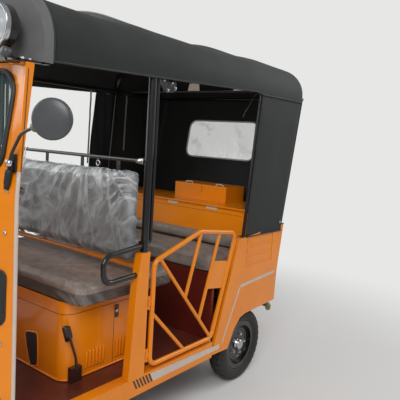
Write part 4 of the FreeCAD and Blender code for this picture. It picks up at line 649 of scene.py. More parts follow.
def sag_at(x, y):
    """How far the cloth lies under the line over the bows."""
    hang = 0.0
    for (start, depth), (end, _) in zip(BOWS, BOWS[1:]):
        if start <= y <= end:
            part = (y - start) / (end - start)
            hang = depth * 4 * part * (1 - part)
    out = min(1.0, max(0.0, (abs(x) / HOOD_HALF - 0.45) / 0.5))
    return hang * (1 - out * out * (3 - 2 * out))


def slack(point, away):
    """Small folds of the hood's cloth, moved along one way."""
    broad = noise.noise(Vector((point[0] * 2.6, point[1] * 2.6, point[2] * 1.7)) + Vector((3.1, 0.4, 7.7)))
    fine = noise.noise(Vector((point[0] * 8.0, point[1] * 8.0, point[2] * 5.0)) + Vector((1.7, 5.2, 2.9)))
    return Vector(point) + Vector(away) * (0.0042 * broad + 0.0013 * fine - 0.0045)


def cover_columns():
    """The top cover's columns, each from the spine of the roof out to the rim and down to its lower edge."""
    columns = []
    for x, y, share in hood_rim(EAVE_Z, HOOD_FRONT + 0.002, 0.0, SIDE_COLUMNS):
        spine = Vector((0, min(y, SPINE_END), 0))
        reach = (Vector((x, y, 0)) - spine).length
        back = max(0.0, (y - SPINE_END) / reach) if share == 1.0 else 0.0
        radius = EAVE_RADIUS + (REAR_RADIUS - EAVE_RADIUS) * back
        rim_z = roof_height(x)
        turn = math.atan(ROOF_SLOPE * min(1.0, abs(x) / CROWN_HALF) * abs(x) / reach)
        tangent = radius * math.tan((math.pi / 2 - turn) / 2)
        low = valance_edge(y) if y < VALANCE_END else SEAM_Z - 0.012
        rows = []
        roof_end = reach - tangent * math.cos(turn)
        for n in range(13):
            rows.append((roof_end * n / 13, None))
        for n in range(9):
            angle = (math.pi / 2 - turn) * (1 - n / 8)
            rows.append((reach - radius + radius * math.cos(angle), rim_z - tangent + radius * math.sin(angle)))
        for n in range(1, 5):
            rows.append((reach, rim_z - tangent + (low - rim_z + tangent) * n / 4))
        column = []
        for run, z in rows:
            f = run / reach
            if z is None:
                z = roof_height(x * f)
            rim = Vector((x, y + share * LEAN_SLOPE * (z - EAVE_Z), 0))
            at = spine + (rim - spine) * f
            at.z = z - sag_at(at.x, at.y)
            away = Vector((at.x * f ** 3, (at.y - spine.y) * f ** 3, 0.35)).normalized()
            column.append(slack(at, away))
        columns.append(column)
    return columns


def make_top_cover():
    """The roof cloth with its valances, its rolled lower edge and its front binding."""
    columns = cover_columns()
    rows = len(columns[0])
    verts = [point for column in columns for point in column]
    cover = piece("hood_top_cover", verts, grid_faces(len(columns), rows), "hood_fabric")
    finish_sheet(cover, (0, 0.3, 1.2), CLOTH)
    edge = [column[-1] + Vector((0, 0, 0.001)) for column in columns]
    hose("hood_valance_hem", edge, 0.0042, "hood_fabric", WELT, sides=8)
    front = [point + Vector((0, 0.001, -0.001)) for point in reversed(columns[0])] + columns[-1][1:]
    hose("hood_front_binding", front, 0.0045, "hood_fabric", WELT, sides=8)
    return cover


def window_point(x, z):
    """The nearest point of the rear window's rounded outline."""
    core = Vector((max(-WINDOW_HALF + WINDOW_CORNER, min(WINDOW_HALF - WINDOW_CORNER, x)),
        max(WINDOW_LOW + WINDOW_CORNER, min(WINDOW_HIGH - WINDOW_CORNER, z))))
    way = (Vector((x, z)) - core).normalized()
    return core + way * WINDOW_CORNER


def skirt_point(x, y, z, normal):
    """A point of the skirt with its drape: full at mid height, tight at the rail and the foot."""
    height = (z - HOOD_FOOT) / (SEAM_Z - HOOD_FOOT)
    drape = math.sin(math.pi * min(1.0, max(0.0, height)))
    folds = noise.noise(Vector((x * 5.0, y * 5.0, z * 1.3)) + Vector((9.1, 2.2, 0.3)))
    return slack((x, y, z), normal) + Vector(normal) * drape * (0.0035 * folds - 0.003)


def skirt_front(z):
    """Where the skirt's leaning front edge is along Y at a height."""
    return SIDE_FOOT + SIDE_LEAN * (z - HOOD_FOOT) / (SEAM_Z - HOOD_FOOT)


def make_window_film(outline):
    """The rear window's film, in rings from its seam to its middle."""
    film_verts = []
    for k in range(FILM_RINGS):
        part = 1 - k / (FILM_RINGS - 0.5)
        for point in outline:
            x, z = point.x * part, WINDOW_MIDDLE + (point.z - WINDOW_MIDDLE) * part
            ripple = noise.noise(Vector((x * 9 + z * 3, z * 11, 0.7))) + 0.6 * noise.noise(Vector((x * 23, z * 17,
                4.1)))
            film_verts.append((x, rear_face(z) - 0.005 + 0.0035 * ripple * (1 - part ** 6), z))
    film_verts.append(Vector((0, rear_face(WINDOW_MIDDLE) - 0.004, WINDOW_MIDDLE)))
    count = len(outline)
    last = (FILM_RINGS - 1) * count
    faces = grid_faces(FILM_RINGS, count, False, True)
    faces += [(last + n, last + (n + 1) % count, last + count) for n in range(count)]
    film = piece("rear_window_film", film_verts, faces, "window_film")
    finish_sheet(film, (0, 0, 1.5), 0.0008)
    return film


def make_skirt():
    """Side cloths and rear cloth in one with the rear window's opening, and the window's film."""
    heights = [HOOD_FOOT + 0.002 + (BAND_LOW - HOOD_FOOT) * n / 9 for n in range(9)]
    heights += [BAND_LOW + BAND_TALL * n / 10 for n in range(11)] + ROWS_OVER
    verts, window_rows = [], list(range(9, 20))
    for z in heights:
        rim = hood_rim(z, skirt_front(z), 0.003, SKIRT_SIDE_COLUMNS)
        for n, (x, y, _) in enumerate(rim):
            before, after = rim[max(0, n - 1)], rim[min(len(rim) - 1, n + 1)]
            along = Vector((after[0] - before[0], after[1] - before[1], 0))
            verts.append(skirt_point(x, y, z, Vector((along.y, -along.x, 0)).normalized()))
    columns = len(rim)
    first = SKIRT_SIDE_COLUMNS + CORNER_COLUMNS + 1 + 2
    window_columns = list(range(first, first + WINDOW_COLUMNS))
    faces = []
    for row in range(len(heights) - 1):
        for column in range(columns - 1):
            if row in window_rows[:-1] and column in window_columns[:-1]:
                continue
            at = row * columns + column
            faces.append((at, at + 1, at + columns + 1, at + columns))
    low, high, left, right = window_rows[0], window_rows[-1], window_columns[0], window_columns[-1]
    loop = [low * columns + n for n in range(left, right)] + [n * columns + right for n in range(low, high)]
    loop += [high * columns + n for n in range(right, left, -1)] + [n * columns + left for n in range(high, low, -1)]
    outline = []
    rings = [loop]
    for share in (0.5, 1.0):
        ring = []
        for index in loop:
            x, z = verts[index].x, verts[index].z
            goal = window_point(x, z)
            px, pz = x + (goal.x - x) * share, z + (goal.y - z) * share
            ring.append(len(verts))
            verts.append(skirt_point(px, rear_face(pz) - 0.003, pz, (0, 1, 0)))
            if share == 1.0:
                outline.append(verts[-1])
        rings.append(ring)
    for inner, outer in zip(rings, rings[1:]):
        for n in range(len(loop)):
            after = (n + 1) % len(loop)
            faces.append((inner[n], inner[after], outer[after], outer[n]))
    skirt = piece("hood_skirt", verts, faces, "hood_fabric")
    finish_sheet(skirt, (0, 0.4, 1.4), CLOTH)
    for label, column in (("left", 0), ("right", columns - 1)):
        edge = [verts[row * columns + column] for row in range(len(heights))]
        hose(f"hood_skirt_binding_{label}", edge, 0.0045, "hood_fabric", WELT, sides=8)
    hose("hood_skirt_hem", verts[:columns], 0.0042, "hood_fabric", WELT, sides=8)
    hose("rear_window_welt", outline, 0.0062, "hood_fabric", PALE_WELT, sides=8, closed=True)
    return skirt, make_window_film(outline)


TOP_COVER = make_top_cover()
SKIRT, WINDOW_FILM = make_skirt()
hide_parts("hood")
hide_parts("hood")
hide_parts("rear_window")


def make_side_curtain():
    """The far side's loose curtain in soft folds, behind the edge of the skirt."""
    rows, columns, low, high, verts = 22, 30, 1.052, 1.784, []
    for row in range(rows):
        share = row / (rows - 1)
        z = low + (high - low) * share
        rear = skirt_front(z) + 0.004
        for column in range(columns):
            y = rear - 0.190 * (1 - column / (columns - 1))
            depth = 0.0065 - 0.0035 * share
            fold = math.sin(y * 92 + 1.5 * noise.noise(Vector((y * 4, z * 2, 1.3)))) * depth
            verts.append((-HOOD_HALF + 0.0085 + fold, y, z))
    curtain = piece("side_curtain_cloth", verts, grid_faces(rows, columns), "curtain_fabric")
    finish_sheet(curtain, (0, 0.6, 1.4), 0.002)
    return curtain


CURTAIN = make_side_curtain()
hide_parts("side_curtain")
# Each row is a strap's place along Y and its lower and upper ends.
for number, (y, low, high) in enumerate([(0.566, 1.278, 1.790), (0.910, 1.378, 1.790)]):
    path = [(-HOOD_HALF + 0.018 + 0.002 * math.sin(3 * n), y + 0.010 * (n / 8), low + (high - low) * n / 8)
        for n in range(9)]
    strap(f"curtain_strap_{number}", path, (0, 1, 0), (1, 0, 0), 0.013, 0.0018, "curtain_fabric", STRAP)


# Wheels: block tread, bead, nuts, cap and valve

TYRE_RADIUS, TYRE_AROUND, TREAD_BLOCKS, TREAD_DEPTH = 0.225, 384, 32, 0.0062
# Each row is how far across the tyre from its middle and the radius there.
TYRE_SECTION = [(0.0350, 0.1428), (0.0405, 0.1500), (0.0470, 0.1600), (0.0520, 0.1700), (0.0545, 0.1800),
    (0.0546, 0.1815), (0.0542, 0.1830), (0.0540, 0.1925), (0.0526, 0.2000), (0.0515, 0.2045), (0.0500, 0.2080),
    (0.0470, 0.2125), (0.0430, 0.2165), (0.0385, 0.2195), (0.0330, 0.2218), (0.0270, 0.2232), (0.0200, 0.2241),
    (0.0185, 0.2243), (0.0165, 0.2245), (0.0145, 0.2246), (0.0090, 0.2248), (0.0040, 0.2250), (0.0, 0.2250)]


def tread_cut(across, turn):
    """How deep the tread is cut at a place: side blocks, a zigzag groove and a notched middle rib."""
    phase = turn * TREAD_BLOCKS / (2 * math.pi) + (0.5 if across < 0 else 0.0)
    wide = abs(across)
    zigzag = 0.0165 + 0.0022 * math.sin(phase * 2 * math.pi)
    if abs(wide - zigzag) < 0.0024:
        return 1.0
    if wide > zigzag:
        lean = (wide - 0.018) * 9
        return 1.0 if (phase + lean) % 1.0 < 0.27 else 0.0
    return 0.55 if (phase * 2 + wide * 20) % 1.0 < 0.16 else 0.0


def make_tyre(name, place, body):
    """A tyre with a moulded block tread whose shoulder blocks run down onto the sidewall."""
    section = TYRE_SECTION + [(-across, radius) for across, radius in reversed(TYRE_SECTION[:-1])]
    verts = []
    for across, radius in section:
        for step in range(TYRE_AROUND):
            turn = 2 * math.pi * step / TYRE_AROUND
            fade = min(1.0, max(0.0, (radius - 0.1985) / 0.009))
            depth = TREAD_DEPTH * fade * tread_cut(across, turn)
            bulge = 0.0
            if 0.165 < radius < 0.196:
                bulge = 0.0006 * (1 if int(turn * 90 / math.pi) % 2 else 0)
            wall = across + math.copysign(bulge, across) if across else 0.0
            if abs(across) > 0.0515 and fade > 0:
                wall = math.copysign(abs(across) - depth * 0.35, across)
            at = radius - depth
            verts.append((place[0] + wall, place[1] + at * math.sin(turn), place[2] + at * math.cos(turn)))
    rubber = piece(f"{name}_tyre_tread", verts, grid_faces(len(section), TYRE_AROUND, True, True), "tyre_rubber",
        body=body)
    tidied(rubber, place)
    rubber.data.set_sharp_from_angle(angle=math.radians(38))
    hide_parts(f"{name}_tyre")
    return rubber


def dress_wheel(name, facing, x, y, body):
    """Nuts, cap, pressed ring and valve on a wheel's outer side."""
    middle = Vector((x, y, TYRE_RADIUS))
    out = Vector((facing, 0, 0))
    face = middle + out * 0.0185
    nuts, studs = [], []
    for n in range(5):
        turn = 2 * math.pi * n / 5 + 0.3
        spot = face + Vector((0, math.sin(turn), math.cos(turn))) * 0.062
        nuts.append((spot, out))
        studs.append((spot + out * 0.011, out))
    turned(f"{name}_wheel_nuts", hex_head(0.0125, 0.0105, 0.0110, 0.0125, 0.0085), nuts, "bright_steel", body=body,
        sides=6, smooth=False)
    turned(f"{name}_wheel_studs", [(0, 0.0050), (0.007, 0.0050), (0.008, 0.0042)], studs, "bright_steel", body=body,
        sides=12)
    turned(f"{name}_hub_cap", [(0, 0.036), (0.004, 0.0362), (0.006, 0.033), (0.022, 0.0315), (0.027, 0.029),
        (0.0295, 0.022), (0.0305, 0.0)], [(face, out)], "bright_steel", body=body, sides=40)
    turned(f"{name}_pressed_ring", [(0, 0.088), (0.004, 0.091), (0.006, 0.096), (0.006, 0.102), (0.004, 0.107),
        (0, 0.110)], [(face - out * 0.0005, out)], "black_steel", body=body, sides=64, caps=False)
    turned(f"{name}_rim_edge", [(0.0395, 0.1375), (0.0425, 0.1380), (0.0432, 0.1475), (0.0425, 0.1535),
        (0.0395, 0.1530)], [(middle, out)], "black_steel", body=body, sides=96, caps=False)
    stem = face + Vector((0, 0.118, 0))
    hose(f"{name}_valve", [stem, stem + out * 0.010, stem + out * 0.022 + Vector((0, -0.004, 0))], 0.0036,
        "tyre_rubber", RUBBER_TRIM, body, sides=10)


# Each row is a wheel's name, which way it faces, its middle and its body.
for name, facing, x, y, body in [("front", 1, 0.0, -1.146, "front_wheel"),
                                 ("rear_left", 1, 0.548, 0.834, "rear_left_wheel"),
                                 ("rear_right", -1, -0.548, 0.834, "rear_right_wheel")]:
    make_tyre(name, (x, y, TYRE_RADIUS), body)
    dress_wheel(name, facing, x, y, body)


# Seats: blown-up cushions under clear film


def rounded_block(name, low, high, corner, edge):
    """A block with round upright corners and eased edges, as a bare mesh object."""
    mesh = bmesh.new()
    bmesh.ops.create_cube(mesh, size=1.0)
    middle, span = (Vector(low) + Vector(high)) / 2, Vector(high) - Vector(low)
    for vert in mesh.verts:
        vert.co = Vector((vert.co.x * span.x, vert.co.y * span.y, vert.co.z * span.z)) + middle
    upright = [e for e in mesh.edges if abs(e.verts[0].co[corner[0]]
        - e.verts[1].co[corner[0]]) > span[corner[0]] / 2]
    bmesh.ops.bevel(mesh, geom=upright, offset=corner[1], segments=4, affect="EDGES", profile=0.5)
    around = [e for e in mesh.edges if abs(e.calc_face_angle(0.0)) > 1.2]
    bmesh.ops.bevel(mesh, geom=around, offset=edge, segments=2, affect="EDGES", profile=0.5)
    data = bpy.data.meshes.new(name)
    mesh.to_mesh(data)
    mesh.free()
    return linked(name, data)


def evaluated_copy(item):
    """The item's mesh with its modifiers."""
    graph = bpy.context.evaluated_depsgraph_get()
    graph.update()
    return bpy.data.meshes.new_from_object(item.evaluated_get(graph))


PRESSURE, FRAMES = 4.0, 14


def blown(name, low, high, corner, edge, voxel, cap, held, material):
    """A cushion: a block remeshed, blown up as cloth, held at one side, with its swelling capped."""
    base = rounded_block(name, low, high, corner, edge)
    remesh = base.modifiers.new("remesh", "REMESH")
    remesh.mode = "VOXEL"
    remesh.voxel_size = voxel
    data = evaluated_copy(base)
    base.modifiers.clear()
    base.data = data
    rest = [vert.co.copy() for vert in data.vertices]
    group = base.vertex_groups.new(name="held")
    group.add([n for n, co in enumerate(rest) if held(co)], 1.0, "REPLACE")
    cloth = base.modifiers.new("cloth", "CLOTH")
    feel = cloth.settings
    feel.quality, feel.mass, feel.vertex_group_mass = 4, 0.4, "held"
    feel.tension_stiffness = feel.compression_stiffness = 12
    feel.shear_stiffness, feel.bending_stiffness = 8, 0.6
    feel.use_pressure, feel.uniform_pressure_force = True, PRESSURE
    feel.effector_weights.gravity = 0
    cloth.collision_settings.use_collision = False
    cloth.point_cache.frame_start, cloth.point_cache.frame_end = 1, FRAMES
    for frame_number in range(1, FRAMES + 1):
        bpy.context.scene.frame_set(frame_number)
    data = evaluated_copy(base)
    base.modifiers.clear()
    base.data = data
    bpy.context.scene.frame_set(1)
    for vert, start in zip(base.data.vertices, rest):
        move = vert.co - start
        if move.length > cap:
            vert.co = start + move.normalized() * cap
    base.data.materials.clear()
    base.data.materials.append(material)
    dressed(base)
    return base


def crease(point, scale, seed, stretch=(1, 1, 1)):
    """Sharp ridges from 0 to 1, as clear film makes where it is pulled."""
    at = Vector((point[0] * stretch[0], point[1] * stretch[1], point[2] * stretch[2]))
    warp = noise.noise_vector(at * scale * 0.45 + Vector((seed, seed * 2.1, seed * 0.7)))
    broad = noise.noise(at * scale + warp * 1.1 + Vector((seed * 3.3, 0, seed)))
    return max(0.0, 1 - abs(broad) * 4.2) ** 2


def wrap_in_film(name, source, lift, height, scale, seed, stretch, keep, material):
    """Clear film over a cushion: the cushion's own faces lifted and creased."""
    mesh = bmesh.new()
    mesh.from_mesh(source.data)
    mesh.normal_update()
    bmesh.ops.delete(mesh, geom=[face for face in mesh.faces if not keep(face)], context="FACES")
    moves = [(vert, vert.normal * (lift + height * crease(vert.co, scale, seed, stretch) + height * 0.5
        * crease(vert.co, scale * 2.3, seed + 4, stretch))) for vert in mesh.verts]
    for vert, move in moves:
        vert.co += move
    data = bpy.data.meshes.new(name)
    mesh.to_mesh(data)
    mesh.free()
    data.materials.append(material)
    return dressed(linked(name, data))


SEAT_LOW, SEAT_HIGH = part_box("front_seat_cushion")
PAD_LOW, PAD_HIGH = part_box("driver_backrest")
BENCH_LOW, BENCH_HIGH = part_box("rear_seat_cushion")
ROLL_LOW, ROLL_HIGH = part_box("rear_backrest")
# The darker top band and ends are partly the pad's own dark sides and partly painted shade on its end faces.
PAD_COVER = edged_vinyl("backrest_edged", ((88, 91, 91), (66, 69, 70)), ((26, 27, 28), (36, 36, 37)),
    [("Z", "GREATER_THAN", 1.314), ("X", "GREATER_THAN", 0.548), ("X", "LESS_THAN", -0.548)])
SEAT_COVER = edged_vinyl("seat_edged", ((150, 131, 119), (112, 97, 88)), ((66, 50, 42), (34, 26, 22)),
    [("Z", "LESS_THAN", 0.790)])
SEAT = blown("front_seat_pad", SEAT_LOW + Vector((0.008, 0.008, 0.001)), SEAT_HIGH - Vector((0.008, 0.008, 0.010)),
    (2, 0.070), 0.020, 0.0095, 0.012, lambda co: co.z < SEAT_LOW.z + 0.012, SEAT_COVER)
PAD = blown("driver_backrest_pad", PAD_LOW + Vector((0.008, 0.010, 0.008)),
    PAD_HIGH - Vector((0.008, 0.001, 0.008)), (1, 0.024), 0.014, 0.0085, 0.010,
    lambda co: co.y > PAD_HIGH.y - 0.010, PAD_COVER)
BENCH = blown("rear_seat_pad", BENCH_LOW + Vector((0.008, 0.008, 0.001)),
    BENCH_HIGH - Vector((0.008, 0.003, 0.010)), (2, 0.04), 0.022, 0.0095, 0.010,
    lambda co: co.z < BENCH_LOW.z + 0.012, FINISH["seat_vinyl"])
ROLL = blown("rear_backrest_pad", ROLL_LOW + Vector((0.004, 0.006, 0.003)),
    ROLL_HIGH - Vector((0.004, 0.001, 0.006)), (0, 0.020), 0.012, 0.0080, 0.006,
    lambda co: co.y > ROLL_HIGH.y - 0.010, FINISH["seat_vinyl"])
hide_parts("front_seat_cushion")
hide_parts("driver_backrest")
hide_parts("rear_seat_cushion")
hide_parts("rear_backrest")
SEAT_WRAP = wrap_in_film("front_seat_film", SEAT, 0.0015, 0.0045, 7.0, 2.0, (1.0, 1.6, 1.0),
    lambda face: face.normal.z > -0.5, SEAT_FILM)
PAD_WRAP = wrap_in_film("backrest_film", PAD, 0.0015, 0.0060, 5.5, 7.0, (1.4, 1.0, 0.8),
    lambda face: face.normal.y < 0.6, BACKREST_FILM)
BENCH_WRAP = wrap_in_film("rear_seat_film", BENCH, 0.0015, 0.0045, 7.5, 11.0, (0.6, 1.6, 1.0),
    lambda face: face.normal.z > -0.5 and face.normal.y < 0.6, SEAT_FILM)
ROLL_WRAP = wrap_in_film("rear_backrest_film", ROLL, 0.0012, 0.0030, 9.0, 5.0, (0.5, 1.0, 1.0),
    lambda face: face.normal.y < 0.4 and face.normal.z > -0.6, SEAT_FILM)


# Front cowl: the sheet with narrow side returns, its screen rubber, a dark line of painted shade in each side groove
# and a pale painted highlight along each side corner

COWL_WAIST, COWL_TOP, COWL_SIDE_Y, COWL_TOP_Y = 1.240, 1.722, -0.784, -0.709
COWL_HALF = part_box("front_cowl")[1].x
# The upper corners come forward outside the flat middle, and the side returns grow deeper upward.
COWL_FORWARD, COWL_FLAT_HALF, RETURN_LOW, RETURN_GAIN = 0.045, 0.545, 0.010, 0.024


def cowl_share(z):
    """From 0 at the cowl's waist to 1 at its top."""
    return min(1.0, max(0.0, (z - COWL_WAIST) / (COWL_TOP - COWL_WAIST)))


def cowl_edge(z):
    """Where the cowl's front corner is along Y at a height."""
    return COWL_SIDE_Y + (COWL_TOP_Y - COWL_SIDE_Y) * cowl_share(z) - COWL_FORWARD * cowl_share(z)


def make_cowl():
    """The cowl's own sheet with its side returns cut back and its upper corners brought forward."""
    data = frame["nodes"]["front_cowl"].data.copy()
    for vert in data.vertices:
        x, y, z = vert.co
        share = cowl_share(z)
        outer = min(1.0, max(0.0, (abs(x) - COWL_FLAT_HALF) / (COWL_HALF - COWL_FLAT_HALF)))
        limit = COWL_SIDE_Y + (COWL_TOP_Y - COWL_SIDE_Y) * share + RETURN_LOW + RETURN_GAIN * share
        if y > limit:
            vert.co.y = limit
        vert.co.y -= COWL_FORWARD * outer * share
    cowl = dressed(linked("front_cowl_sheet", data))
    data.set_sharp_from_angle(angle=math.radians(28))
    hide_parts("front_cowl")
    return cowl


COWL = make_cowl()
COWL_TREE = BVHTree.FromPolygons([v.co for v in COWL.data.vertices], [tuple(f.vertices) for f in COWL.data.polygons])


def on_cowl(x, z, lift=0.0):
    """The point of the cowl's front face at x and z."""
    hit = COWL_TREE.ray_cast(Vector((x, -2.0, z)), Vector((0, 1, 0)))[0]
    return Vector((x, hit.y - lift, z)) if hit else None


def rounded_outline(half, low, high, corner):
    """Points round a rectangle with rounded corners, as (x, z)."""
    points = []
    for sx, sz, first in ((1, 1, 0), (-1, 1, 1), (-1, -1, 2), (1, -1, 3)):
        cx = sx * (half - corner)
        cz = (high if sz > 0 else low) - sz * corner
        for n in range(9):
            turn = math.pi / 2 * (first + n / 8)
            points.append((cx + corner * math.cos(turn), cz + corner * math.sin(turn)))
    finer = []
    for (ax, az), (bx, bz) in zip(points, points[1:] + points[:1]):
        pieces = max(1, int(math.hypot(bx - ax, bz - az) / 0.06))
        finer += [(ax + (bx - ax) * n / pieces, az + (bz - az) * n / pieces) for n in range(pieces)]
    return finer


screen_line = [on_cowl(x, z, 0.003) for x, z in rounded_outline(0.551, 1.312, 1.696, 0.091)]
screen_line = [point for point in screen_line if point is not None]
hose("windscreen_rubber", screen_line, 0.0105, "dash_plastic", RUBBER_TRIM, sides=10, closed=True)
lip = [Vector((x, (on_cowl(x, 1.7155) or Vector((x, -0.80, 0))).y + 0.004, COWL_TOP - 0.002))
    for x in [COWL_HALF - 0.012 - 2 * (COWL_HALF - 0.012) * n / 40 for n in range(41)]]
hose("cowl_top_bead", lip, 0.0055, "orange_paint", sides=8)
for side, label in SIDES:
    # A dark line in the side groove: painted shade where the groove lies in shadow.
    groove = [(side * (COWL_HALF + 0.0002), cowl_edge(z) + 0.012, z) for z in [1.30 + 0.04 * n for n in range(11)]]
    hose(f"cowl_groove_shade_{label}", groove, 0.0016, "black_steel", DARK_LINE, sides=6)
    # A pale strip along the side corner: a painted highlight where the edge catches the light.
    painted_edge_highlight = [(side * (COWL_HALF - 0.0005), cowl_edge(z) + 0.0045, z) for z in [0.44 + 0.045 * n for n in range(21)]]
    hose(f"cowl_edging_{label}", painted_edge_highlight, 0.0078, "orange_paint", PALE_TRIM_AND_HIGHLIGHT, sides=8)
    bolts = [((side * 0.588, on_cowl(side * 0.588, z).y + 0.0005, z), (0, -1, 0)) for z in (0.50, 0.71, 1.12, 1.27)]
    turned(f"cowl_bolts_{label}", [(0, 0.009), (0.0015, 0.009), (0.003, 0.0065), (0.0045, 0.005)], bolts,
        "bright_steel", sides=16)

# Headlamps: a dark moulded surround laid on the cowl, a reflector and a domed lens
LAMP_ROWS, LAMP_COLUMNS = 19, 15


def cowl_patch(name, inner, outer, low, high, corner, lift, bulge, side, slot, material=None):
    """A rounded rectangle laid on the cowl, lifted off it and domed outward."""
    points, tall = [], high - low
    for row in range(LAMP_ROWS):
        share = row / (LAMP_ROWS - 1)
        near_end = max(0.0, corner - tall * min(share, 1 - share))
        inset = corner - math.sqrt(max(0.0, corner ** 2 - near_end ** 2))
        for column in range(LAMP_COLUMNS):
            along = column / (LAMP_COLUMNS - 1)
            dome = bulge * math.sqrt(max(0.0, math.sin(math.pi * share) * math.sin(math.pi * along)))
            x = side * (inner + inset + (outer - inner - 2 * inset) * along)
            points.append(on_cowl(x, low + tall * share, lift + dome))
    return piece(name, points, grid_faces(LAMP_ROWS, LAMP_COLUMNS), slot, material), points


for side, label in SIDES:
    _, edge = cowl_patch(f"headlamp_surround_{label}", 0.372, 0.600, 0.775, 0.990, 0.035, 0.004, 0.0, side,
        "dash_plastic")
    cowl_patch(f"headlamp_reflector_{label}", 0.402, 0.566, 0.802, 0.963, 0.040, 0.0055, 0.0, side, "bright_steel",
        MIRROR_GLASS)
    cowl_patch(f"headlamp_lens_{label}", 0.396, 0.572, 0.796, 0.969, 0.042, 0.006, 0.016, side, "lamp_body",
        LAMP_LENS)
    rim_line = edge[:LAMP_COLUMNS] + [edge[n * LAMP_COLUMNS + LAMP_COLUMNS - 1] for n in range(1, LAMP_ROWS)]
    rim_line += edge[-2:-LAMP_COLUMNS - 1:-1] + [edge[n * LAMP_COLUMNS] for n in range(LAMP_ROWS - 2, 0, -1)]
    hose(f"headlamp_surround_edge_{label}", rim_line, 0.0045, "dash_plastic", sides=8, closed=True)

# Round lamps on the visor's foot, with lens, bezel and bracket
front = (0, -1, 0)
for side, label in SIDES:
    middle = Vector((side * 0.540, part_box("roof_lamps")[0].y, 1.838))
    turned(f"roof_lamp_bezel_{label}", [(-0.012, 0.0752), (0.003, 0.0752), (0.005, 0.073), (0.005, 0.066),
        (0.001, 0.065)], [(middle, front)], "bright_steel", sides=64, caps=False)
    turned(f"roof_lamp_lens_{label}", [(0.001, 0.066), (0.006, 0.060), (0.011, 0.045), (0.014, 0.024),
        (0.015, 0.0)], [(middle, front)], "lamp_body", LAMP_LENS, sides=64)
    turned(f"roof_lamp_bulb_{label}", [(0.0002, 0.064), (0.0006, 0.020), (0.006, 0.016), (0.009, 0.0)],
        [(middle, front)], "bright_steel", MIRROR_GLASS, sides=48)
    turned(f"marker_lamp_{label}", [(0, 0.016), (0.016, 0.0175), (0.020, 0.019), (0.030, 0.018), (0.034, 0.012),
        (0.035, 0.0)], [((side * 0.592, -0.792, 1.746), front)], "mirror_back", sides=32)
    strap(f"marker_bracket_{label}", [(side * 0.592, -0.796, 1.7225), (side * 0.592, -0.760, 1.7225)], (1, 0, 0),
        (0, 0, 1), 0.030, 0.012, "black_steel")
    foot = [(side * 0.612, y, 1.7235) for y in (-0.776, -0.742, -0.700, -0.660)]
    strap(f"visor_bracket_{label}", foot, (1, 0, 0), (0, 0, 1), 0.026, 0.006, "black_steel")
    turned(f"visor_bolts_{label}", hex_head(0.008, 0.0062, 0.008, 0.009, 0.004),
        [((side * 0.612, y, 1.729), (0, 0, 1)) for y in (-0.762, -0.728, -0.680)], "bright_steel", sides=6,
        smooth=False)

# Mirrors: a domed back turned outward, glass behind, a bent stalk and its clamp on the cowl
MIRROR_TURN = math.radians(33)
for side, label in SIDES:
    out = Vector((side * math.sin(MIRROR_TURN), -math.cos(MIRROR_TURN), 0))
    head = Vector((side * 0.874, -0.822, 1.526))
    turned(f"mirror_shell_{label}", [(-0.006, 0.0630), (-0.006, 0.0655), (0.002, 0.0655), (0.006, 0.0635),
        (0.010, 0.0560), (0.0135, 0.040), (0.0155, 0.020), (0.016, 0.0)], [(head, out)], "mirror_back", sides=64)
    turned(f"mirror_glass_{label}", [(0.0045, 0.0632), (0.0048, 0.030), (0.0049, 0.0)], [(head, -out)],
        "bright_steel", MIRROR_GLASS, sides=64)
    grip = on_cowl(side * 0.606, 1.366, 0.014)
    knuckle = head - Vector((side * 0.075, 0.0, 0.026)) + out * 0.012
    bend = Vector((side * 0.722, -0.828, 1.478))
    stalk = [grip + Vector((0, -0.006, -0.050)), grip + Vector((0, -0.006, 0.020)),
        grip + Vector((side * 0.050, -0.006, 0.086)), bend, knuckle,
        head - Vector((side * 0.045, 0, 0.012)) + out * 0.006]
    hose(f"mirror_stalk_{label}", stalk, 0.0058, "black_steel", sides=12, smooth_passes=3)
    turned(f"mirror_knuckle_{label}", [(-0.016, 0.0), (-0.014, 0.011), (-0.006, 0.0150), (0.010, 0.0150),
        (0.018, 0.008), (0.020, 0.0)], [(knuckle, knuckle - head)], "bright_steel", FINISH["olive_steel"], sides=24)
    turned(f"mirror_grip_{label}", [(0, 0.010), (0.004, 0.013), (0.050, 0.0125), (0.056, 0.0105), (0.070, 0.0095),
        (0.072, 0.0)], [(grip + Vector((0, -0.006, -0.020)), (side * -0.22, 0, -1))], "dash_plastic", RUBBER_TRIM,
        sides=24)
    turned(f"mirror_clamp_{label}", [(-0.011, 0.0), (-0.011, 0.0125), (0.011, 0.0125), (0.011, 0.0)],
        [(grip + Vector((0, -0.006, 0.004)), (0, 0, 1))], "bright_steel", sides=20)
    strap(f"mirror_base_{label}", [grip + Vector((0, 0.013, -0.028)), grip + Vector((0, 0.013, 0.036))], (1, 0, 0),
        (0, -1, 0), 0.034, 0.008, "black_steel")
    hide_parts("mirrors")

# Seat box: lid seam, louvres with painted shade in their slits, the slot in its front drawn as a dark plate of
# painted shade, and a latch

BOX_LOW, BOX_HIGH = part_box("seat_box")


def around_box(z, grow):
    """Points round the seat box at a height, a little outside its sheet."""
    half_x, low_y, high_y = BOX_HIGH.x + grow, BOX_LOW.y - grow, BOX_HIGH.y + grow
    middle = (low_y + high_y) / 2
    return [(x, middle + y, z) for x, y in rounded_outline(half_x, low_y - middle, high_y - middle, 0.060 + grow)]


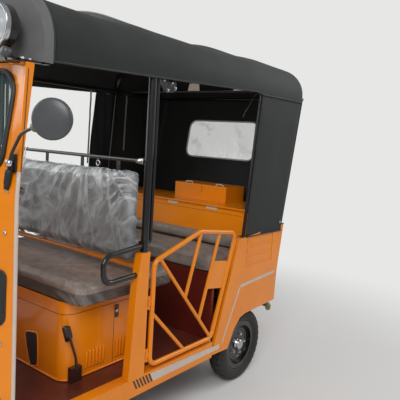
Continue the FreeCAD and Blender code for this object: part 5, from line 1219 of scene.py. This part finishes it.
hose("seat_box_lid_seam", around_box(0.676, 0.0002), 0.0014, "black_steel", DARK_LINE, sides=6, closed=True)
hose("seat_box_foot_bead", around_box(0.366, 0.002), 0.0045, "orange_paint", sides=8, closed=True)
louvres = []
for side in (1, -1):
    x, slits = side * (BOX_HIGH.x + 0.0005), []
    # Each row is the first louvre's place along Y, how many there are and their lower and upper ends.
    for first, count, low, high in ((-0.288, 6, 0.392, 0.478), (-0.098, 5, 0.392, 0.482)):
        for n in range(count):
            y = first + 0.0205 * n
            louvres.append([(x, y, low), (x + side * 0.003, y, low + 0.006), (x + side * 0.003, y, high - 0.006),
                (x, y, high)])
            slits.append(oblong(y + 0.0042, low + 0.004, y + 0.0062, high - 0.004))
    # Dark plates in the slits: painted shade where the openings show the dark inside.
    plate_of(f"louvre_slit_shade_{'left' if side > 0 else 'right'}", slits, 0, x, side * 0.0006, "black_steel", DARK_LINE)
for number, line in enumerate(louvres):
    hose(f"louvre_{number}", line, 0.0044, "orange_paint", sides=8)
slot_shape = [(0.140, 0.512), (0.158, 0.530), (0.236, 0.544), (0.249, 0.534), (0.254, 0.392), (0.246, 0.380),
    (0.204, 0.366), (0.186, 0.372)]
# The slot is a dark plate: painted shade in place of an opening into the box.
plate_of("seat_box_slot", [slot_shape], 1, BOX_LOW.y - 0.0002, -0.0012, "black_steel", DARK_LINE)
hose("seat_box_slot_rim", [(x, BOX_LOW.y - 0.001, z) for x, z in slot_shape], 0.0042, "orange_paint", sides=8,
    closed=True, smooth_passes=2)
turned("seat_box_lock", [(0, 0.011), (0.004, 0.011), (0.006, 0.009), (0.007, 0.0)],
    [((BOX_HIGH.x, -0.106, 0.632), (1, 0, 0))], "bright_steel", sides=24)
plate_of("seat_box_latch", [oblong(-0.116, 0.600, -0.096, 0.664)], 0, BOX_HIGH.x, 0.004, "black_steel")
plate_of("seat_box_joint", [oblong(-0.1225, 0.368, -0.1205, 0.674)], 0, BOX_HIGH.x, 0.0007, "black_steel", DARK_LINE)

# Parking brake lever: a moulded grip that thickens upward
turned("lever_grip", [(0, 0.0), (0, 0.0105), (0.030, 0.0125), (0.060, 0.0160), (0.068, 0.0145), (0.071, 0.0)],
    [((0.463, -0.4145, 0.570), (0, -0.17, 0.985))], "control_steel", sides=24)

# Bars behind the backrest: bright ends, a hook and a ring that hold the pad
BAR_Y, HIGH_BAR_Z = -0.109, 1.378
turned("high_bar_ends", [(0, 0.0), (0, 0.0150), (0.004, 0.0160), (0.030, 0.0160), (0.034, 0.0130), (0.046, 0.0125),
    (0.048, 0.0)], [((side * 0.588, BAR_Y, HIGH_BAR_Z), (-side, 0, 0)) for side in (1, -1)], "bright_steel",
    sides=28)
hook = [(-0.334, BAR_Y, HIGH_BAR_Z + 0.012), (-0.334, BAR_Y - 0.014, HIGH_BAR_Z + 0.002),
    (-0.334, BAR_Y - 0.016, 1.352), (-0.334, BAR_Y - 0.022, 1.330), (-0.334, BAR_Y - 0.034, 1.318)]
hose("pad_hook", hook, 0.0032, "bright_steel", sides=10, smooth_passes=2)
ring = [(0.284 + 0.013 * math.cos(t * math.pi / 8), BAR_Y - 0.013, 1.348 + 0.013 * math.sin(t * math.pi / 8))
    for t in range(16)]
hose("pad_ring", ring, 0.0026, "bright_steel", sides=8, closed=True)
strap("pad_ring_tab", [(0.284, BAR_Y - 0.012, 1.372), (0.284, BAR_Y - 0.013, 1.332)], (1, 0, 0), (0, -1, 0), 0.012,
    0.0015, "black_steel")

# Roof fittings: brackets on the cross bar, plates at the pillars' tops, a hanging tie
PILLAR_X, CROSS_BAR_FACE_Y = 0.612, 0.786
for number, (x, z, wide, high) in enumerate([(0.127, 1.826, 0.094, 0.046), (0.474, 1.808, 0.078, 0.014)]):
    plate_of(f"cross_bar_bracket_{number}", [[(x - wide / 2, z - high / 2), (x + wide / 2, z - high / 2),
        (x + wide / 2 - 0.008, z + high / 2), (x - wide / 2 + 0.012, z + high / 2)]], 1, CROSS_BAR_FACE_Y, 0.008,
        "bright_steel", PALE_TRIM_AND_HIGHLIGHT)
for side, label in SIDES:
    x = side * PILLAR_X
    plate = [(-0.064, 1.772), (-0.030, 1.782), (0.030, 1.782), (0.052, 1.768), (0.052, 1.712), (0.030, 1.702),
        (-0.030, 1.698), (-0.052, 1.730)]
    plate_of(f"pillar_plate_{label}", [plate], 0, x, side * 0.004, "black_steel")
    turned(f"pillar_bolts_{label}", hex_head(0.0085, 0.0068, 0.0085, 0.0095, 0.004),
        [((x + side * 0.004, y, z), (side, 0, 0)) for y, z in ((-0.040, 1.752), (-0.012, 1.708), (0.016, 1.746),
        (0.040, 1.722))], "bright_steel", sides=6, smooth=False)
tie = [(0.602, 0.800, 1.792), (0.602, 0.770, 1.768), (0.602, 0.735, 1.728), (0.603, 0.700, 1.690),
    (0.604, 0.668, 1.662), (0.604, 0.660, 1.640)]
strap("rolled_tie", tie, (0, 0.6, 0.8), (1, 0, 0), 0.017, 0.003, "hood_fabric", WELT)
turned("skirt_snaps", [(0, 0.0085), (0.002, 0.008), (0.0035, 0.005), (0.004, 0.0)],
    [((side * (HOOD_HALF - 0.0005), 1.128, 0.992), (side, 0, 0)) for side in (1, -1)], "bright_steel", sides=24)

# Pale lines and the hatched sill band on the body's sides
BODY_SIDE_X, LINE_THICK = 0.6352, 0.0006
for side, label in SIDES:
    x, out = side * BODY_SIDE_X, side * LINE_THICK
    line = [[(1.117, 0.670), (1.117, 0.652), (0.716, 0.630), (0.711, 0.648)],
        [(0.716, 0.630), (0.703, 0.636), (0.553, 0.330), (0.562, 0.326)]]
    plate_of(f"quarter_line_{label}", line, 0, x, out, "orange_paint", PALE_TRIM_AND_HIGHLIGHT)
    band = [[(-0.048, 0.350), (0.532, 0.330), (0.532, 0.302), (-0.024, 0.304)]]
    plate_of(f"sill_band_{label}", band, 0, x, out, "orange_paint", PALE_TRIM_AND_HIGHLIGHT)
    hatch = [[(y, 0.352), (y + 0.011, 0.352), (y + 0.036, 0.304), (y + 0.025, 0.304)]
        for y in [-0.166 + 0.021 * n for n in range(6)]]
    plate_of(f"sill_hatch_{label}", hatch, 0, x, out, "black_steel", DARK_LINE)

# Parcel box and tool chest: two pale recessed plates on the box front as painted reflections, the seam, and pale
# grips on the lid whose colour is a painted reflection
PARCEL_FACE_Y = 0.7708
# Pale plates where the box front reflects ceiling lamps: painted reflections.
plate_of("parcel_box_painted_glints", [oblong(x - 0.043, 1.062, x + 0.043, 1.078) for x in (0.022, 0.345)], 1, PARCEL_FACE_Y,
    -0.0035, "orange_paint", PALE_TRIM_AND_HIGHLIGHT)
plate_of("parcel_box_seam", [oblong(-0.575, 1.046, 0.575, 1.0475)], 1, PARCEL_FACE_Y, -0.0008, "black_steel",
    DARK_LINE)
CHEST_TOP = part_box("tool_chest_lid")[1].z
# Bowed grips, pale as a painted reflection of the glints on the lid's top edge.
for number, x in enumerate((0.045, 0.300)):
    bow = [(x - 0.030, 0.905, CHEST_TOP), (x - 0.024, 0.903, CHEST_TOP + 0.012),
        (x + 0.024, 0.903, CHEST_TOP + 0.012), (x + 0.030, 0.905, CHEST_TOP)]
    hose(f"chest_lid_grip_glint_{number}", bow, 0.0040, "orange_paint", PALE_TRIM_AND_HIGHLIGHT, "chest_lid", sides=10, smooth_passes=2)


# Camera at the photograph's place, floor and light

CAMERA_PLACE = Vector((2.199, -1.777, 1.49))
AZIMUTH, PITCH, ROLL = math.radians(37.457), math.radians(6.78), math.radians(-3.6)
LENS, SENSOR = 45.2, 36.0


STAGE = 40
PALE = {"Color": (0.80, 0.80, 0.79, 1), "Strength": 1.0}


def set_camera():
    """The camera at the photograph's place, with its lens and roll."""
    forward = Vector((-math.sin(AZIMUTH) * math.cos(PITCH), math.cos(AZIMUTH) * math.cos(PITCH), -math.sin(PITCH)))
    right = Vector((math.cos(AZIMUTH), math.sin(AZIMUTH), 0))
    down = forward.cross(right)
    level, tilt = math.cos(ROLL), math.sin(ROLL)
    across = right * level + down * tilt
    below = down * level - right * tilt
    data = bpy.data.cameras.new("camera")
    data.lens, data.sensor_width = LENS, SENSOR
    camera = linked("camera", data)
    facing = Matrix((across, -below, -forward)).transposed().to_4x4()
    camera.matrix_world = Matrix.Translation(CAMERA_PLACE) @ facing
    bpy.context.scene.camera = camera


def seen_directly(tree):
    """1 for what the camera sees itself or through glass."""
    path = add(tree, "LightPath").outputs
    return sums(tree, "MAXIMUM", path["Is Camera Ray"], path["Is Transmission Ray"])


def set_stage():
    """A pale floor that fades into a pale world, and soft lamps."""
    mesh = bpy.data.meshes.new("floor_sheet")
    corners = [(-STAGE, -STAGE, 0), (STAGE, -STAGE, 0), (STAGE, STAGE, 0), (-STAGE, STAGE, 0)]
    mesh.from_pydata(corners, [], [(0, 1, 2, 3)])
    material, tree, shader = finish_of("studio_floor", Roughness=0.7, Base_Color=(226, 225, 222))
    away = vectors(tree, "LENGTH", own_place(tree), out="Value")
    far = ramp(tree, away, 2.2, 4.2, interpolation_type="SMOOTHSTEP")
    glow = add(tree, "Emission", PALE).outputs[0]
    mix = add(tree, "MixShader", {0: sums(tree, "MULTIPLY", far, seen_directly(tree)), 1: shader.outputs[0], 2: glow})
    give(tree, tree.nodes["Material Output"], Surface=mix.outputs[0])
    mesh.materials.append(material)
    linked("floor_sheet", mesh)
    world = bpy.data.worlds.new("studio")
    bpy.context.scene.world = world
    world.use_nodes = True
    tree = world.node_tree
    back = tree.nodes["Background"]
    give(tree, back, Color=(0.86, 0.88, 0.92, 1), Strength=0.42)
    pale = add(tree, "Background", PALE).outputs[0]
    mix = add(tree, "MixShader", {0: seen_directly(tree), 1: back.outputs[0], 2: pale})
    give(tree, tree.nodes["World Output"], Surface=mix.outputs[0])
    # Each row is a lamp's place, what it points at, its size and its power.
    lamps = [((3.2, -3.6, 4.2), (0, 0, 0.9), 2.4, 165), ((-4.0, -2.0, 3.6), (0, 0, 1.0), 3.5, 80),
        ((2.5, 4.2, 3.8), (0, 0.4, 1.0), 3.0, 85), ((0.0, -0.30, 1.74), (0, 1.2, 1.25), 0.8, 3.5)]
    for number, (place, target, wide, power) in enumerate(lamps):
        data = bpy.data.lights.new(f"softbox_{number}", "AREA")
        data.size, data.energy = wide, power
        lamp = linked(f"softbox_{number}", data)
        lamp.location = place
        lamp.visible_camera = False
        lamp.rotation_euler = (Vector(target) - Vector(place)).to_track_quat("-Z", "Y").to_euler()


set_camera()
set_stage()
bpy.context.scene.view_settings.view_transform = "Standard"
